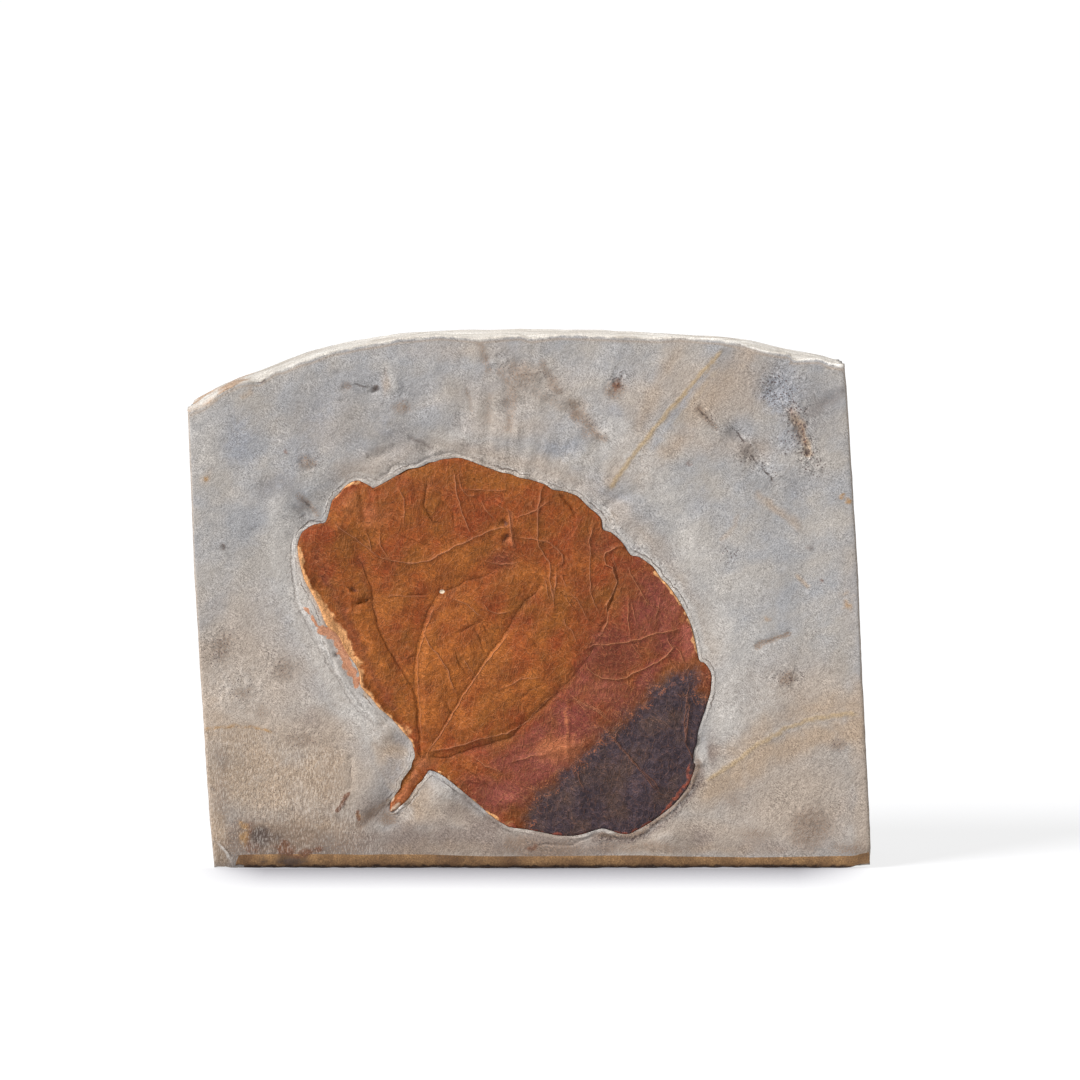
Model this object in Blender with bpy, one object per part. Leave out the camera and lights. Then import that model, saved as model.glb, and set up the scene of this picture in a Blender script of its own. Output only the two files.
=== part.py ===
"""Fossil leaf plate: a siltstone slab that stands on its sawn base, with a leaf pressed in its front.

Metres. +X runs to the right along the plate, -Y out of its front face and +Z up. The origin is the
middle of the base. The outlines are points read by eye off a photograph 1080 pixels square, and
on_plane carries them along the line of sight on to the plate.
"""

import math

import bpy
import numpy as np
from mathutils import Vector
from mathutils.geometry import delaunay_2d_cdt

MM = 0.001

# Driving dimensions
PLATE_PER_PIXEL = 0.3 * MM
PLATE_THICKNESS = 33.0 * MM
EDGE_WEAR = 0.7 * MM
FOOT_CHAMFER = 1.3 * MM
FILM_THICKNESS = 1.4 * MM
FILM_GAP = 0.35 * MM
VEIN_DEPTH = 0.6 * MM

# How far the relief of the stone and the leaf reaches
STONE_ROLL = 0.8 * MM
STONE_ROLL_LENGTH = 34.0 * MM
SCRAPED_WIDTH = 8.0 * MM
SCRAPED_DEPTH = 1.1 * MM
SCRAPED_DEPTH_CHANGE = 0.5 * MM
FILM_LEVEL = -0.6 * MM
PILLOW_RISE = 1.2 * MM
PILLOW_WIDTH = 9.0 * MM
MARGIN_FALL = 1.3 * MM
MARGIN_WIDTH = 6.0 * MM
KNOB_RISE = 0.9 * MM
KNOB_RADIUS = 4.5 * MM
CHIP_RADIUS = 7.0 * MM
CHIP_DEPTH = 1.2 * MM
LEDGE_HEIGHT = 0.6 * MM

# How coarse the faces are
STONE_MESH = 4.4 * MM
BACK_MESH = 9.0 * MM
LEAF_MESH = 2.9 * MM
UNDERSIDE_MESH = 4.6 * MM
END_POINTS = 14
TOP_POINTS = 44
BASE_POINTS = 22
MIDDLE_RINGS = (0.35, 0.8, 1.2, 1.6)
SLIVER_AREA = 0.001 * MM * MM

# The line of sight: how far away the eye was, how far it looked down, and the point that it aimed at
EYE_DISTANCE = 1.5
EYE_PITCH = math.radians(6.2)
PICTURE_CENTRE = 540.0
AIM_X = 2.73 * MM
AIM_Z = 99.98 * MM

FRONT_Y = -PLATE_THICKNESS / 2
BACK_Y = PLATE_THICKNESS / 2

# Picture points of the slab: each end from the base up, and the foot line and both top edges from
# left to right
LEFT_END_PX = [(212.3, 868), (211, 842), (206, 760), (199.5, 660), (193.5, 560), (189.5, 470), (187, 404)]
RIGHT_END_PX = [(871.5, 868), (871.5, 856), (864, 700), (859, 600), (853, 500), (848, 402), (845, 362)]
FOOT_LINE_PX = [(212, 856), (310, 855), (440, 856.5), (600, 856), (690, 857), (780, 858), (871, 856)]
TOP_FRONT_PX = [
    (187, 412), (205, 406), (225, 390), (245, 382), (262, 381), (285, 369), (310, 360), (345, 349.5),
    (380, 343), (420, 337), (460, 337), (530, 337.5), (600, 336.5), (660, 338), (720, 340), (760, 350),
    (795, 358), (830, 363), (845, 366),
]
TOP_BACK_PX = [
    (187, 404), (200, 396), (232, 382), (272, 367), (315, 351), (360, 339.5), (400, 333.5), (460, 330),
    (520, 328.5), (600, 329), (680, 333.5), (740, 339), (780, 346), (820, 354), (845, 364),
]
CHIPPED_CORNERS_PX = [(212, 868), (871, 868)]

# Hollows where the stone flaked off: a picture point of each, its radius and its depth
HOLLOWS = [
    ((757, 462), 9.0 * MM, 1.3 * MM),
    ((738, 436), 6.0 * MM, 0.9 * MM),
    ((375, 389), 5.0 * MM, 1.1 * MM),
    ((302, 512), 9.0 * MM, 1.0 * MM),
    ((386, 456), 7.0 * MM, 0.8 * MM),
    ((618, 497), 7.0 * MM, 0.9 * MM),
    ((400, 745), 8.0 * MM, 0.9 * MM),
    ((800, 428), 6.0 * MM, 0.6 * MM),
]

# Picture points of the leaf's margin, clockwise from the notch at its upper left
MARGIN_PX = [
    (325, 523), (330, 510), (333, 500), (344, 488), (357, 481), (364, 483.5), (376, 487.5), (388, 481),
    (400, 474), (417, 468), (429, 463), (441, 460), (457, 458.5), (473, 463), (489, 469), (510, 474.5),
    (529, 480), (546, 485.5), (565, 492), (579, 498), (590, 509), (601, 519.5), (603.5, 530.5),
    (618, 538.5), (628, 552), (639, 557.5), (651, 565.5), (661, 578.5), (673, 593), (684, 611),
    (692, 631), (697, 652), (704, 663), (711.5, 676), (709.5, 696.5), (703, 717), (697.5, 734.5),
    (694, 751), (695, 767.5), (688, 786.5), (677, 801.5), (660, 815.5), (644, 826.5), (629, 834),
    (615, 832), (601, 829), (584, 834), (563, 836), (547, 833.5), (528, 830), (510.5, 827.5),
    (497, 819.5), (481.5, 807.5), (467.5, 796), (452, 783), (440, 774.5), (429, 771), (421, 782),
    (412.5, 793.5), (402, 805), (390.5, 812), (391, 802), (400, 790), (402, 781), (410.5, 769.5),
    (415, 757), (412, 743), (399, 728), (385, 713.5), (372, 699), (360, 684), (356, 666), (344, 648),
    (335.5, 633), (325.5, 623), (318, 605), (309.5, 590), (303, 575), (299, 559), (298, 543),
    (303, 532), (312, 526),
]

# Picture points of the main veins, from the leaf's foot outwards, and of the knob by the top
VEINS_PX = [
    [(420, 748), (416, 696), (397, 663), (379, 630), (372, 590), (357, 556)],
    [(422, 745), (414, 672), (427, 615), (441, 592), (475, 578.5), (497, 568)],
    [(425, 757), (447, 720.5), (473, 680), (507, 631), (541, 584)],
    [(425, 757), (460, 753), (507, 739), (530, 718.5), (557, 693)],
]
KNOB_PX = (510, 527)

STONE_COLOUR = (0.44, 0.42, 0.40)
LEAF_COLOUR = (0.31, 0.11, 0.035)


def on_plane(points, plane_y):
    """Picture points carried along the line of sight on to the upright plane at plane_y, as x and z."""
    picked = np.asarray(points, float)
    right = (picked[:, 0] - PICTURE_CENTRE) * PLATE_PER_PIXEL
    up = (PICTURE_CENTRE - picked[:, 1]) * PLATE_PER_PIXEL
    eye_y = FRONT_Y - EYE_DISTANCE * math.cos(EYE_PITCH)
    eye_z = AIM_Z + EYE_DISTANCE * math.sin(EYE_PITCH)
    ray_y = EYE_DISTANCE * math.cos(EYE_PITCH) + up * math.sin(EYE_PITCH)
    ray_z = up * math.cos(EYE_PITCH) - EYE_DISTANCE * math.sin(EYE_PITCH)
    reach = (plane_y - eye_y) / ray_y
    return np.column_stack([AIM_X + reach * right, eye_z + reach * ray_z])


def distance_to_line(points, line, closed):
    """Distance of each point to the nearest run of a line."""
    corners = np.vstack([line, line[:1]]) if closed else line
    start, run = corners[:-1], np.diff(corners, axis=0)
    offset = points[:, None, :] - start[None, :, :]
    share = np.clip((offset * run).sum(axis=2) / (run * run).sum(axis=1), 0.0, 1.0)
    return np.linalg.norm(offset - share[:, :, None] * run, axis=2).min(axis=1)


def is_inside(points, loop):
    """True for each point inside a closed loop: a ray to its right crosses the loop an odd number of times."""
    x, z = points[:, 0, None], points[:, 1, None]
    x0, z0 = loop[:, 0], loop[:, 1]
    x1, z1 = np.roll(x0, -1), np.roll(z0, -1)
    spans = (z0 > z) != (z1 > z)
    rise = np.where(z1 == z0, 1.0, z1 - z0)
    return (spans & (x < x0 + (z - z0) * (x1 - x0) / rise)).sum(axis=1) % 2 == 1


def offset_loop(loop, distance):
    """A clockwise loop moved outwards by a distance, each point along the mean of its two normals."""
    before, after = loop - np.roll(loop, 1, axis=0), np.roll(loop, -1, axis=0) - loop
    normals = [np.column_stack([-run[:, 1], run[:, 0]]) for run in (before, after)]
    unit = [normal / np.linalg.norm(normal, axis=1, keepdims=True) for normal in normals]
    mean = unit[0] + unit[1]
    mean /= np.linalg.norm(mean, axis=1, keepdims=True)
    sharpest_turn = 0.6
    reach = distance / np.maximum((mean * unit[0]).sum(axis=1), sharpest_turn)
    return loop + mean * reach[:, None]


def smooth_step(value):
    """0 below 0, 1 above 1, and an even S between."""
    share = np.clip(value, 0.0, 1.0)
    return share * share * (3.0 - 2.0 * share)


def rolling(points):
    """Low uneven relief of split stone: three crossed waves, each quicker and lower than the last."""
    x, z = points[:, 0] / STONE_ROLL_LENGTH, points[:, 1] / STONE_ROLL_LENGTH
    slow = np.sin(2.1 * x + 1.3 * z + 0.7) * np.sin(1.7 * z - 0.8 * x + 2.1)
    middle = np.sin(4.3 * x - 3.1 * z + 1.9) * np.sin(3.7 * z + 2.2 * x)
    quick = np.sin(8.9 * x + 6.1 * z + 0.3) * np.sin(7.3 * z - 6.7 * x + 1.1)
    return STONE_ROLL * (0.55 * slow + 0.3 * middle + 0.15 * quick)


MARGIN = on_plane(MARGIN_PX, FRONT_Y)
VEINS = [on_plane(vein, FRONT_Y) for vein in VEINS_PX]
KNOB = on_plane([KNOB_PX], FRONT_Y)[0]
LEAF_MIDDLE = MARGIN.mean(axis=0)
LEAF_REACH = np.ptp(MARGIN, axis=0).max() / 2
CHIPPED_CORNERS = on_plane(CHIPPED_CORNERS_PX, FRONT_Y)
HOLLOW_MIDDLES = on_plane([hollow[0] for hollow in HOLLOWS], FRONT_Y)


def stone_height(points):
    """How far the stone stands out of the front plane: uneven, and scraped down towards the leaf.

    It was scraped deepest along the leaf's lower left and least along its upper right.
    """
    from_leaf = distance_to_line(points, MARGIN, closed=True)
    towards_upper_right = (points - LEAF_MIDDLE).sum(axis=1) / (2.0 * LEAF_REACH)
    depth = SCRAPED_DEPTH - SCRAPED_DEPTH_CHANGE * towards_upper_right
    height = rolling(points) - depth * (1.0 - smooth_step(from_leaf / SCRAPED_WIDTH))
    for middle, (_, radius, hollow_depth) in zip(HOLLOW_MIDDLES, HOLLOWS):
        from_middle = np.linalg.norm(points - middle, axis=1)
        height -= hollow_depth * (1.0 - smooth_step(from_middle / radius))
    return height


def film_height(points):
    """How far the leaf's face stands out of the front plane, without its grooves.

    It bulges between the veins, falls off at the margin and has one knob over a grain in the stone.
    """
    from_vein = np.min([distance_to_line(points, vein, closed=False) for vein in VEINS], axis=0)
    from_margin = distance_to_line(points, MARGIN, closed=True)
    from_knob = np.linalg.norm(points - KNOB, axis=1)
    pillow = PILLOW_RISE * smooth_step(from_vein / PILLOW_WIDTH)
    fall = MARGIN_FALL * (1.0 - smooth_step(from_margin / MARGIN_WIDTH))
    knob = KNOB_RISE * (1.0 - smooth_step(from_knob / KNOB_RADIUS))
    return FILM_LEVEL + pillow - fall + knob


def groove_depth(points):
    """The veins pressed in the leaf's face: deepest on the vein and gone within one mesh step."""
    from_vein = np.min([distance_to_line(points, vein, closed=False) for vein in VEINS], axis=0)
    return VEIN_DEPTH * (1.0 - smooth_step(from_vein / LEAF_MESH))


def grid_inside(loop, spacing, keep_off):
    """Points of a staggered grid inside a loop, clear of it and of each line in keep_off."""
    low, high = loop.min(axis=0), loop.max(axis=0)
    row_step = spacing * math.sqrt(3.0) / 2.0
    x, z = np.meshgrid(
        np.arange(low[0], high[0] + spacing, spacing), np.arange(low[1], high[1] + row_step, row_step)
    )
    x[1::2] += spacing / 2.0
    points = np.column_stack([x.ravel(), z.ravel()])
    clear = 0.55 * spacing
    keep = is_inside(points, loop) & (distance_to_line(points, loop, closed=True) > clear)
    for line, closed in keep_off:
        keep &= distance_to_line(points, line, closed) > clear
    return points[keep]


def triangulate(loop, hole, lines, loose):
    """Triangles inside a loop and outside a hole, facing -Y, with the loop, hole and lines as edges.

    Returns the points, the loop's and the hole's numbers first and in order, and the triangles.
    """
    points, edges = [], []
    for line, closed in [(loop, True), (hole, True)] + [(line, False) for line in lines]:
        first, count = len(points), len(line)
        points += [Vector(point) for point in line]
        edges += [(first + i, first + i + 1) for i in range(count - 1)]
        if closed and count:
            edges.append((first + count - 1, first))
    points += [Vector(point) for point in loose]
    made = delaunay_2d_cdt(points, edges, [], 0, 1e-7, False)
    flat, faces = np.array([tuple(point) for point in made[0]]), np.array([tuple(face) for face in made[2]])
    middle = flat[faces].mean(axis=1)
    keep = is_inside(middle, loop)
    if len(hole):
        keep &= ~is_inside(middle, hole)
    side, other = flat[faces[:, 1]] - flat[faces[:, 0]], flat[faces[:, 2]] - flat[faces[:, 0]]
    area = (side[:, 0] * other[:, 1] - side[:, 1] * other[:, 0]) / 2.0
    faces[area < 0.0] = faces[area < 0.0][:, ::-1]
    return flat, faces[keep & (np.abs(area) > SLIVER_AREA)]


def band(first, second):
    """Quads from one clockwise ring of vertex numbers back to the next, facing away from their middle."""
    count = len(first)
    return [
        (first[i], first[(i + 1) % count], second[(i + 1) % count], second[i]) for i in range(count)
    ]


def with_depth(points, depth):
    """Points of x and z with their y, in three columns."""
    return np.column_stack([points[:, 0], np.broadcast_to(depth, len(points)), points[:, 1]])


def stone_material(name, colour, roughness):
    """A plain Principled material in one linear colour."""
    made = bpy.data.materials.new(name)
    made.use_nodes = True
    shader = made.node_tree.nodes["Principled BSDF"]
    shader.inputs["Base Color"].default_value = (*colour, 1.0)
    shader.inputs["Roughness"].default_value = roughness
    shader.inputs["Metallic"].default_value = 0.0
    return made


def add_object(name, vertices, faces, finish):
    """One named object from its vertices and faces, smooth but for its sharp edges."""
    mesh = bpy.data.meshes.new(name)
    mesh.from_pydata(vertices.tolist(), [], faces)
    mesh.update()
    mesh.materials.append(finish)
    mesh.shade_smooth()
    mesh.set_sharp_from_angle(angle=math.radians(35.0))
    made = bpy.data.objects.new(name, mesh)
    bpy.context.scene.collection.objects.link(made)


def slab_ring(plane_y, inset, foot_height, foot_depth, follows_face):
    """One ring of the slab's outside, clockwise from the lower left corner up the left end.

    Both ends are upright saw cuts. The top passes from the front edge's line to the back edge's.
    inset draws the ring in where an edge is worn, foot_height gives the base run's height over x,
    foot_depth sets the base run back, and follows_face is 1 where the ring keeps to the face's relief.
    """
    left_end, right_end = on_plane(LEFT_END_PX, FRONT_Y), on_plane(RIGHT_END_PX, FRONT_Y)
    front_edge, back_edge = on_plane(TOP_FRONT_PX, FRONT_Y), on_plane(TOP_BACK_PX, BACK_Y)
    share = (plane_y - FRONT_Y) / PLATE_THICKNESS

    def top_height(x):
        front = np.interp(x, front_edge[:, 0], front_edge[:, 1]) + EDGE_WEAR
        back = np.interp(x, back_edge[:, 0], back_edge[:, 1])
        ledges = LEDGE_HEIGHT * np.sin(x / (6.3 * MM) + 23.0 * share) * np.sin(x / (17.0 * MM) - 9.0 * share)
        return front + (back - front) * share + ledges * math.sin(math.pi * share) - inset

    def end_run(end, sign):
        top_corner, base_corner = end[-1, 0] - sign * inset, end[0, 0] - sign * inset
        z = np.linspace(foot_height(base_corner), top_height(top_corner), END_POINTS)
        return np.column_stack([np.interp(z, end[:, 1], end[:, 0]) - sign * inset, z])

    left, right = end_run(left_end, -1.0), end_run(right_end, 1.0)[::-1]
    top_x = np.linspace(left[-1, 0], right[0, 0], TOP_POINTS + 2)[1:-1]
    base_x = np.linspace(right[-1, 0], left[0, 0], BASE_POINTS + 2)[1:-1]
    top = np.column_stack([top_x, top_height(top_x)])
    base = np.column_stack([base_x, foot_height(base_x)])
    ring = np.vstack([left, top, right, base])
    depth = np.full(len(ring), plane_y)
    depth[-BASE_POINTS:] += foot_depth
    return with_depth(ring, depth - follows_face * stone_height(ring))


def foot_line(x):
    """Height of the foot's crisp upper edge on the front face."""
    line = on_plane(FOOT_LINE_PX, FRONT_Y)
    return np.interp(x, line[:, 0], line[:, 1])


def ground(x):
    """The base lies flat on the ground."""
    return 0.0 * x


def back_bevel(x):
    """The back's lower edge is worn like its others."""
    return 0.0 * x + EDGE_WEAR


def chipped(vertices):
    """The slab's vertices with the two lower front corners knocked off, up and back into the stone."""
    moved = vertices.copy()
    for corner in CHIPPED_CORNERS:
        centre = np.array([corner[0], FRONT_Y, 0.0])
        near = np.clip(1.0 - np.linalg.norm(vertices - centre, axis=1) / CHIP_RADIUS, 0.0, 1.0)
        inwards = np.array([-np.sign(corner[0]), 1.0, 0.35])
        moved += CHIP_DEPTH * near[:, None] * inwards
    return moved


def build_slab(underside, underside_faces):
    """The slab, closed: its face around the leaf's pocket, the pocket, its outside and its back.

    The pocket's floor is the leaf's own underside set back by the gap, and a gap wider all round.
    """
    rings = [
        slab_ring(FRONT_Y, EDGE_WEAR, foot_line, 0.0, 1.0),
        slab_ring(FRONT_Y + EDGE_WEAR, 0.0, ground, FOOT_CHAMFER - EDGE_WEAR, 1.0),
        *[slab_ring(FRONT_Y * (1.0 - share), 0.0, ground, 0.0, 0.0) for share in MIDDLE_RINGS],
        slab_ring(BACK_Y - EDGE_WEAR, 0.0, ground, 0.0, 0.0),
        slab_ring(BACK_Y, EDGE_WEAR, back_bevel, 0.0, 0.0),
    ]
    count, margin_count = len(rings[0]), len(MARGIN)
    face_loop, back_loop = rings[0][:, [0, 2]], rings[-1][:, [0, 2]]
    pocket = offset_loop(MARGIN, FILM_GAP)

    loose = grid_inside(face_loop, STONE_MESH, [(pocket, True)])
    loose = loose[~is_inside(loose, pocket)]
    face, face_faces = triangulate(face_loop, pocket, [], loose)
    face_vertices = with_depth(face, FRONT_Y - stone_height(face))

    floor = underside.copy()
    floor[:margin_count] = pocket
    floor_vertices = with_depth(floor, FRONT_Y - film_height(underside) + FILM_THICKNESS + FILM_GAP)

    back_loose = grid_inside(back_loop, BACK_MESH, [])
    back, back_faces = triangulate(back_loop, np.empty((0, 2)), [], back_loose)
    back_relief = np.where(np.arange(len(back)) < count, 0.0, rolling(back * 1.3) - STONE_ROLL)
    back_vertices = with_depth(back, BACK_Y + back_relief)

    floor_start = len(face_vertices)
    ring_start = floor_start + len(floor_vertices)
    back_start = ring_start + count * (len(rings) - 2)
    vertices = np.vstack([face_vertices, floor_vertices, *rings[1:-1], back_vertices])

    starts = [0] + [ring_start + count * i for i in range(len(rings) - 2)] + [back_start]
    numbers = [list(range(start, start + count)) for start in starts]
    rim = list(range(count, count + margin_count))
    floor_rim = list(range(floor_start, floor_start + margin_count))
    faces = face_faces.tolist() + (underside_faces + floor_start).tolist()
    faces += [quad[::-1] for quad in band(rim, floor_rim)]
    for first, second in zip(numbers[:-1], numbers[1:]):
        faces += band(first, second)
    faces += (back_faces[:, ::-1] + back_start).tolist()
    add_object("matrix_slab", chipped(vertices), faces, stone_material("siltstone", STONE_COLOUR, 0.9))


def build_leaf(underside, underside_faces):
    """The leaf, closed: its grooved face, its rim and the underside that the pocket follows."""
    grooves = [(vein, False) for vein in VEINS]
    loose = grid_inside(MARGIN, LEAF_MESH, grooves)
    face, face_faces = triangulate(MARGIN, np.empty((0, 2)), VEINS, loose)
    face_vertices = with_depth(face, FRONT_Y - film_height(face) + groove_depth(face))
    under_vertices = with_depth(underside, FRONT_Y - film_height(underside) + FILM_THICKNESS)
    start = len(face_vertices)
    rim = list(range(len(MARGIN)))
    under_rim = list(range(start, start + len(MARGIN)))
    faces = face_faces.tolist() + (underside_faces[:, ::-1] + start).tolist() + band(rim, under_rim)
    vertices = np.vstack([face_vertices, under_vertices])
    add_object("fossil_leaf", vertices, faces, stone_material("leaf film", LEAF_COLOUR, 0.6))


for old in list(bpy.data.objects):
    bpy.data.objects.remove(old)

leaf_loose = grid_inside(MARGIN, UNDERSIDE_MESH, [])
leaf_underside, leaf_underside_faces = triangulate(MARGIN, np.empty((0, 2)), [], leaf_loose)
build_slab(leaf_underside, leaf_underside_faces)
build_leaf(leaf_underside, leaf_underside_faces)
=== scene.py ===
"""Fossil leaf plate: the finish of the siltstone slab and of the leaf pressed in its front.

Metres. +X runs to the right along the plate, -Y out of its front face and +Z up. The outlines and marks are
points read off a photograph 1080 pixels square, and on_plate carries them along the line of sight on to the
front of the plate.
"""

import math

import bpy
import numpy as np
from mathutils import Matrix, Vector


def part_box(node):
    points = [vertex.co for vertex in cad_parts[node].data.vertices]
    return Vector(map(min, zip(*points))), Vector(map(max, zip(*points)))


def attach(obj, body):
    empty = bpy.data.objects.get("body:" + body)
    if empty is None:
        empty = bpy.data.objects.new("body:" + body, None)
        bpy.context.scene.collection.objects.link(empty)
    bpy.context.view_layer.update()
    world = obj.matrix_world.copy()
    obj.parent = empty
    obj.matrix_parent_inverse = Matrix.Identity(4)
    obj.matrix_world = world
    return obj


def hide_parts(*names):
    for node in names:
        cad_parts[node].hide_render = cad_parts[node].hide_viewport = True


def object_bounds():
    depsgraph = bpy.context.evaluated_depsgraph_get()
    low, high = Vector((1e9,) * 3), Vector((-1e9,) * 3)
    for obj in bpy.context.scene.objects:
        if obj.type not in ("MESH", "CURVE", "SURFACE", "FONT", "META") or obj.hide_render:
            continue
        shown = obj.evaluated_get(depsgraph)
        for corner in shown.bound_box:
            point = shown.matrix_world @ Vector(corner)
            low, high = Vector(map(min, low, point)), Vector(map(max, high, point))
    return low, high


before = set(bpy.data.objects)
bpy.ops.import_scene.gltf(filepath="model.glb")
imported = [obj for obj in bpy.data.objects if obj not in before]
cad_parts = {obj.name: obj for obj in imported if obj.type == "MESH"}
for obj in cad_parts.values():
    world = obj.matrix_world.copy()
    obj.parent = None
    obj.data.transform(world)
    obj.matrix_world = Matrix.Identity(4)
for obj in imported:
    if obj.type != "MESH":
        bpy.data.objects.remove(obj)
cad_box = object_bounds()

# The camera
# It stands 1.5 m in front of the plate and looks 6.2 degrees down at it, as the photograph was taken.
MM = 0.001
PICTURE_CENTRE = 540.0
PICTURE_SIDE = 1080
PLATE_PER_PIXEL = 0.3 * MM
EYE_DISTANCE = 1.5
EYE_PITCH = math.radians(6.2)
AIM_X = 2.73 * MM
AIM_Z = 99.98 * MM
SENSOR_WIDTH = 36.0
BACK_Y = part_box("matrix_slab")[1][1]
FRONT_Y = -BACK_Y

camera_data = bpy.data.cameras.new("camera")
camera_data.sensor_width = SENSOR_WIDTH
camera_data.lens = SENSOR_WIDTH * EYE_DISTANCE / (PICTURE_SIDE * PLATE_PER_PIXEL)
camera = bpy.data.objects.new("camera", camera_data)
eye_back = EYE_DISTANCE * math.cos(EYE_PITCH)
eye_up = EYE_DISTANCE * math.sin(EYE_PITCH)
camera.location = (AIM_X, FRONT_Y - eye_back, AIM_Z + eye_up)
camera.rotation_euler = (math.pi / 2.0 - EYE_PITCH, 0.0, 0.0)
bpy.context.scene.collection.objects.link(camera)
bpy.context.scene.camera = camera


# The matrix slab
# One block of fine pale siltstone. Its front is the bedding plane that was scraped down to the leaf with
# fine points, its ends and base are sawn, its top and back are split and weathered to a cream crust. It
# stands on its base; the leaf lies in a shallow pocket in its front.
FOOT_CHAMFER = 1.3 * MM
EDGE_WEAR = 0.7 * MM
LEDGE_HEIGHT = 0.6 * MM
LEDGE_LENGTH = 6.3 * MM
LEDGE_CROSSING = 17.0 * MM
LEDGE_WANDER = 4.0 * MM
STONE_ROLL = 0.8 * MM
STONE_ROLL_LENGTH = 34.0 * MM
SCRAPED_WIDTH = 8.0 * MM
SCRAPED_DEPTH = 0.75 * MM
SCRAPED_DEPTH_CHANGE = 0.35 * MM
SCRAPE_WIDTH = 3.2 * MM
SCRAPE_STRETCH = 5.0
SCRAPE_DEPTH = 0.55 * MM
SCRAPE_REACH = 22.0 * MM
SWELL_LENGTH = 13.0 * MM
SWELL_RISE = 0.22 * MM
LUMP_LENGTH = 3.2 * MM
LUMP_RISE = 0.12 * MM
SMOOTHEST = 0.35
ROUGH_CENTRE_PX = (520, 410)
ROUGH_REACH = 46.0 * MM
WANDER_LENGTH = 2.6 * MM
WANDER_BY = 0.45 * MM
LIP_RISE = 0.12 * MM
LIP_FROM_LEAF = 0.9 * MM
LIP_SPREAD = 0.5 * MM
WORN_ABOVE = 0.6 * MM
FILM_THICKNESS = 1.4 * MM
RIM_GAP = 0.08 * MM
FLOOR_GAP = 1.0 * MM

# Picture points of the slab: each end from the base up, and the foot line and both top edges from
# left to right
LEFT_END_PX = [
    (212.5, 868), (211.5, 842), (209, 820), (194, 580), (187, 404),
]
RIGHT_END_PX = [
    (871.5, 868), (871.5, 856), (870, 820), (862, 660), (859, 580), (848, 400), (845, 362),
]
FOOT_LINE_PX = [
    (212, 856), (303, 855), (430, 855), (480, 856.5), (640, 855.5), (690, 857), (750, 858), (871, 856),
]
TOP_FRONT_PX = [
    (187, 412), (205, 406), (215, 397), (225, 390), (240, 383), (250, 381.5), (260, 382), (275, 371),
    (285, 369), (300, 362), (310, 360), (330, 352), (345, 349.5), (360, 346), (380, 343), (400, 339),
    (440, 335.5), (480, 339), (520, 335.5), (530, 338.5), (560, 335), (660, 338.5), (680, 337), (700, 339),
    (720, 340), (740, 344), (750, 348), (780, 353.5), (790, 354), (793, 360), (820, 359), (830, 364),
    (845, 366),
]
TOP_BACK_PX = [
    (187, 404), (200, 396), (221, 384.5), (239, 376), (256, 370.5), (292, 356.5), (310, 350), (328, 345),
    (346, 341), (400, 332), (435, 329.5), (460, 328.5), (520, 328), (600, 328.5), (678, 333), (714, 334.5),
    (749, 339), (785, 347.5), (820, 354), (838, 359), (845, 363),
]
# The lower corners where the stone chipped: a picture point, the reach, and how far inwards, back and up
# the corner went, in millimetres
CHIPPED_CORNERS = [((212, 868), 7.0, 0.3, 1.2, 0.2), ((871, 868), 6.5, 0.5, 0.8, 2.4)]
TOP_JAG = 0.45 * MM
END_JAG = 0.22 * MM
FOOT_JAG = 0.4 * MM
JAG_LENGTH = 2.6 * MM
LONG_JAG_LENGTH = 9.0 * MM

# Picture points of the leaf's margin, clockwise from the notch at its upper left
MARGIN_PX = [
    (325, 523), (328, 516), (331.5, 503), (333, 500), (340, 493), (344, 488), (350, 483.5), (357, 481),
    (364, 483.5), (371, 487), (376, 487.5), (405, 471), (410, 469), (417, 468), (423, 466), (429, 463),
    (435, 462), (441, 460), (449, 459), (457, 458.5), (466, 460), (498, 472), (510, 474.5), (519, 478),
    (529, 480), (539, 483), (546, 485.5), (553, 490), (565, 492), (572, 494.5), (579, 498), (590, 509),
    (596, 513.5), (601, 519.5), (602, 527), (603.5, 530.5), (611, 533), (618, 538.5), (624, 545.5),
    (628, 552), (632, 556), (639, 557.5), (651, 565.5), (656, 571), (661, 578.5), (668, 585.5), (679, 601),
    (689, 620), (695, 641), (699, 660), (704, 663), (709, 669), (711.5, 676), (711, 687), (709.5, 696.5),
    (699.5, 727), (697.5, 734.5), (697, 743), (694, 751), (693, 761), (695, 767.5), (688, 786.5),
    (683, 794), (677, 801.5), (669, 809), (651.5, 822), (636, 831), (629, 834), (621, 834), (608, 830),
    (601, 829), (584, 834), (573, 836), (563, 836), (554, 835), (528, 830), (510.5, 827.5), (504, 824.5),
    (489, 814.5), (481.5, 807.5), (452, 783), (440, 774.5), (429, 771), (426, 776), (421, 782),
    (415.5, 787), (412.5, 793.5), (408, 799), (402, 805), (390.5, 812), (391, 802), (395, 796), (400, 790),
    (402, 781), (410.5, 769.5), (412.5, 762), (415, 757), (414, 750.5), (412, 743), (406.5, 736),
    (391.5, 719), (379, 708), (372, 699), (363.5, 690), (360, 684), (359.5, 675), (356, 666), (349.5, 657),
    (344, 648), (340, 639), (335.5, 633), (330, 629), (325.5, 623), (318, 605), (306, 583), (303, 575),
    (299, 559), (297.5, 548), (298, 543), (300, 537), (303, 532), (312, 526), (319, 524),
]
LEAF_CENTRE_PX = (500, 650)
MARGIN_SAMPLES = 4000

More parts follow.
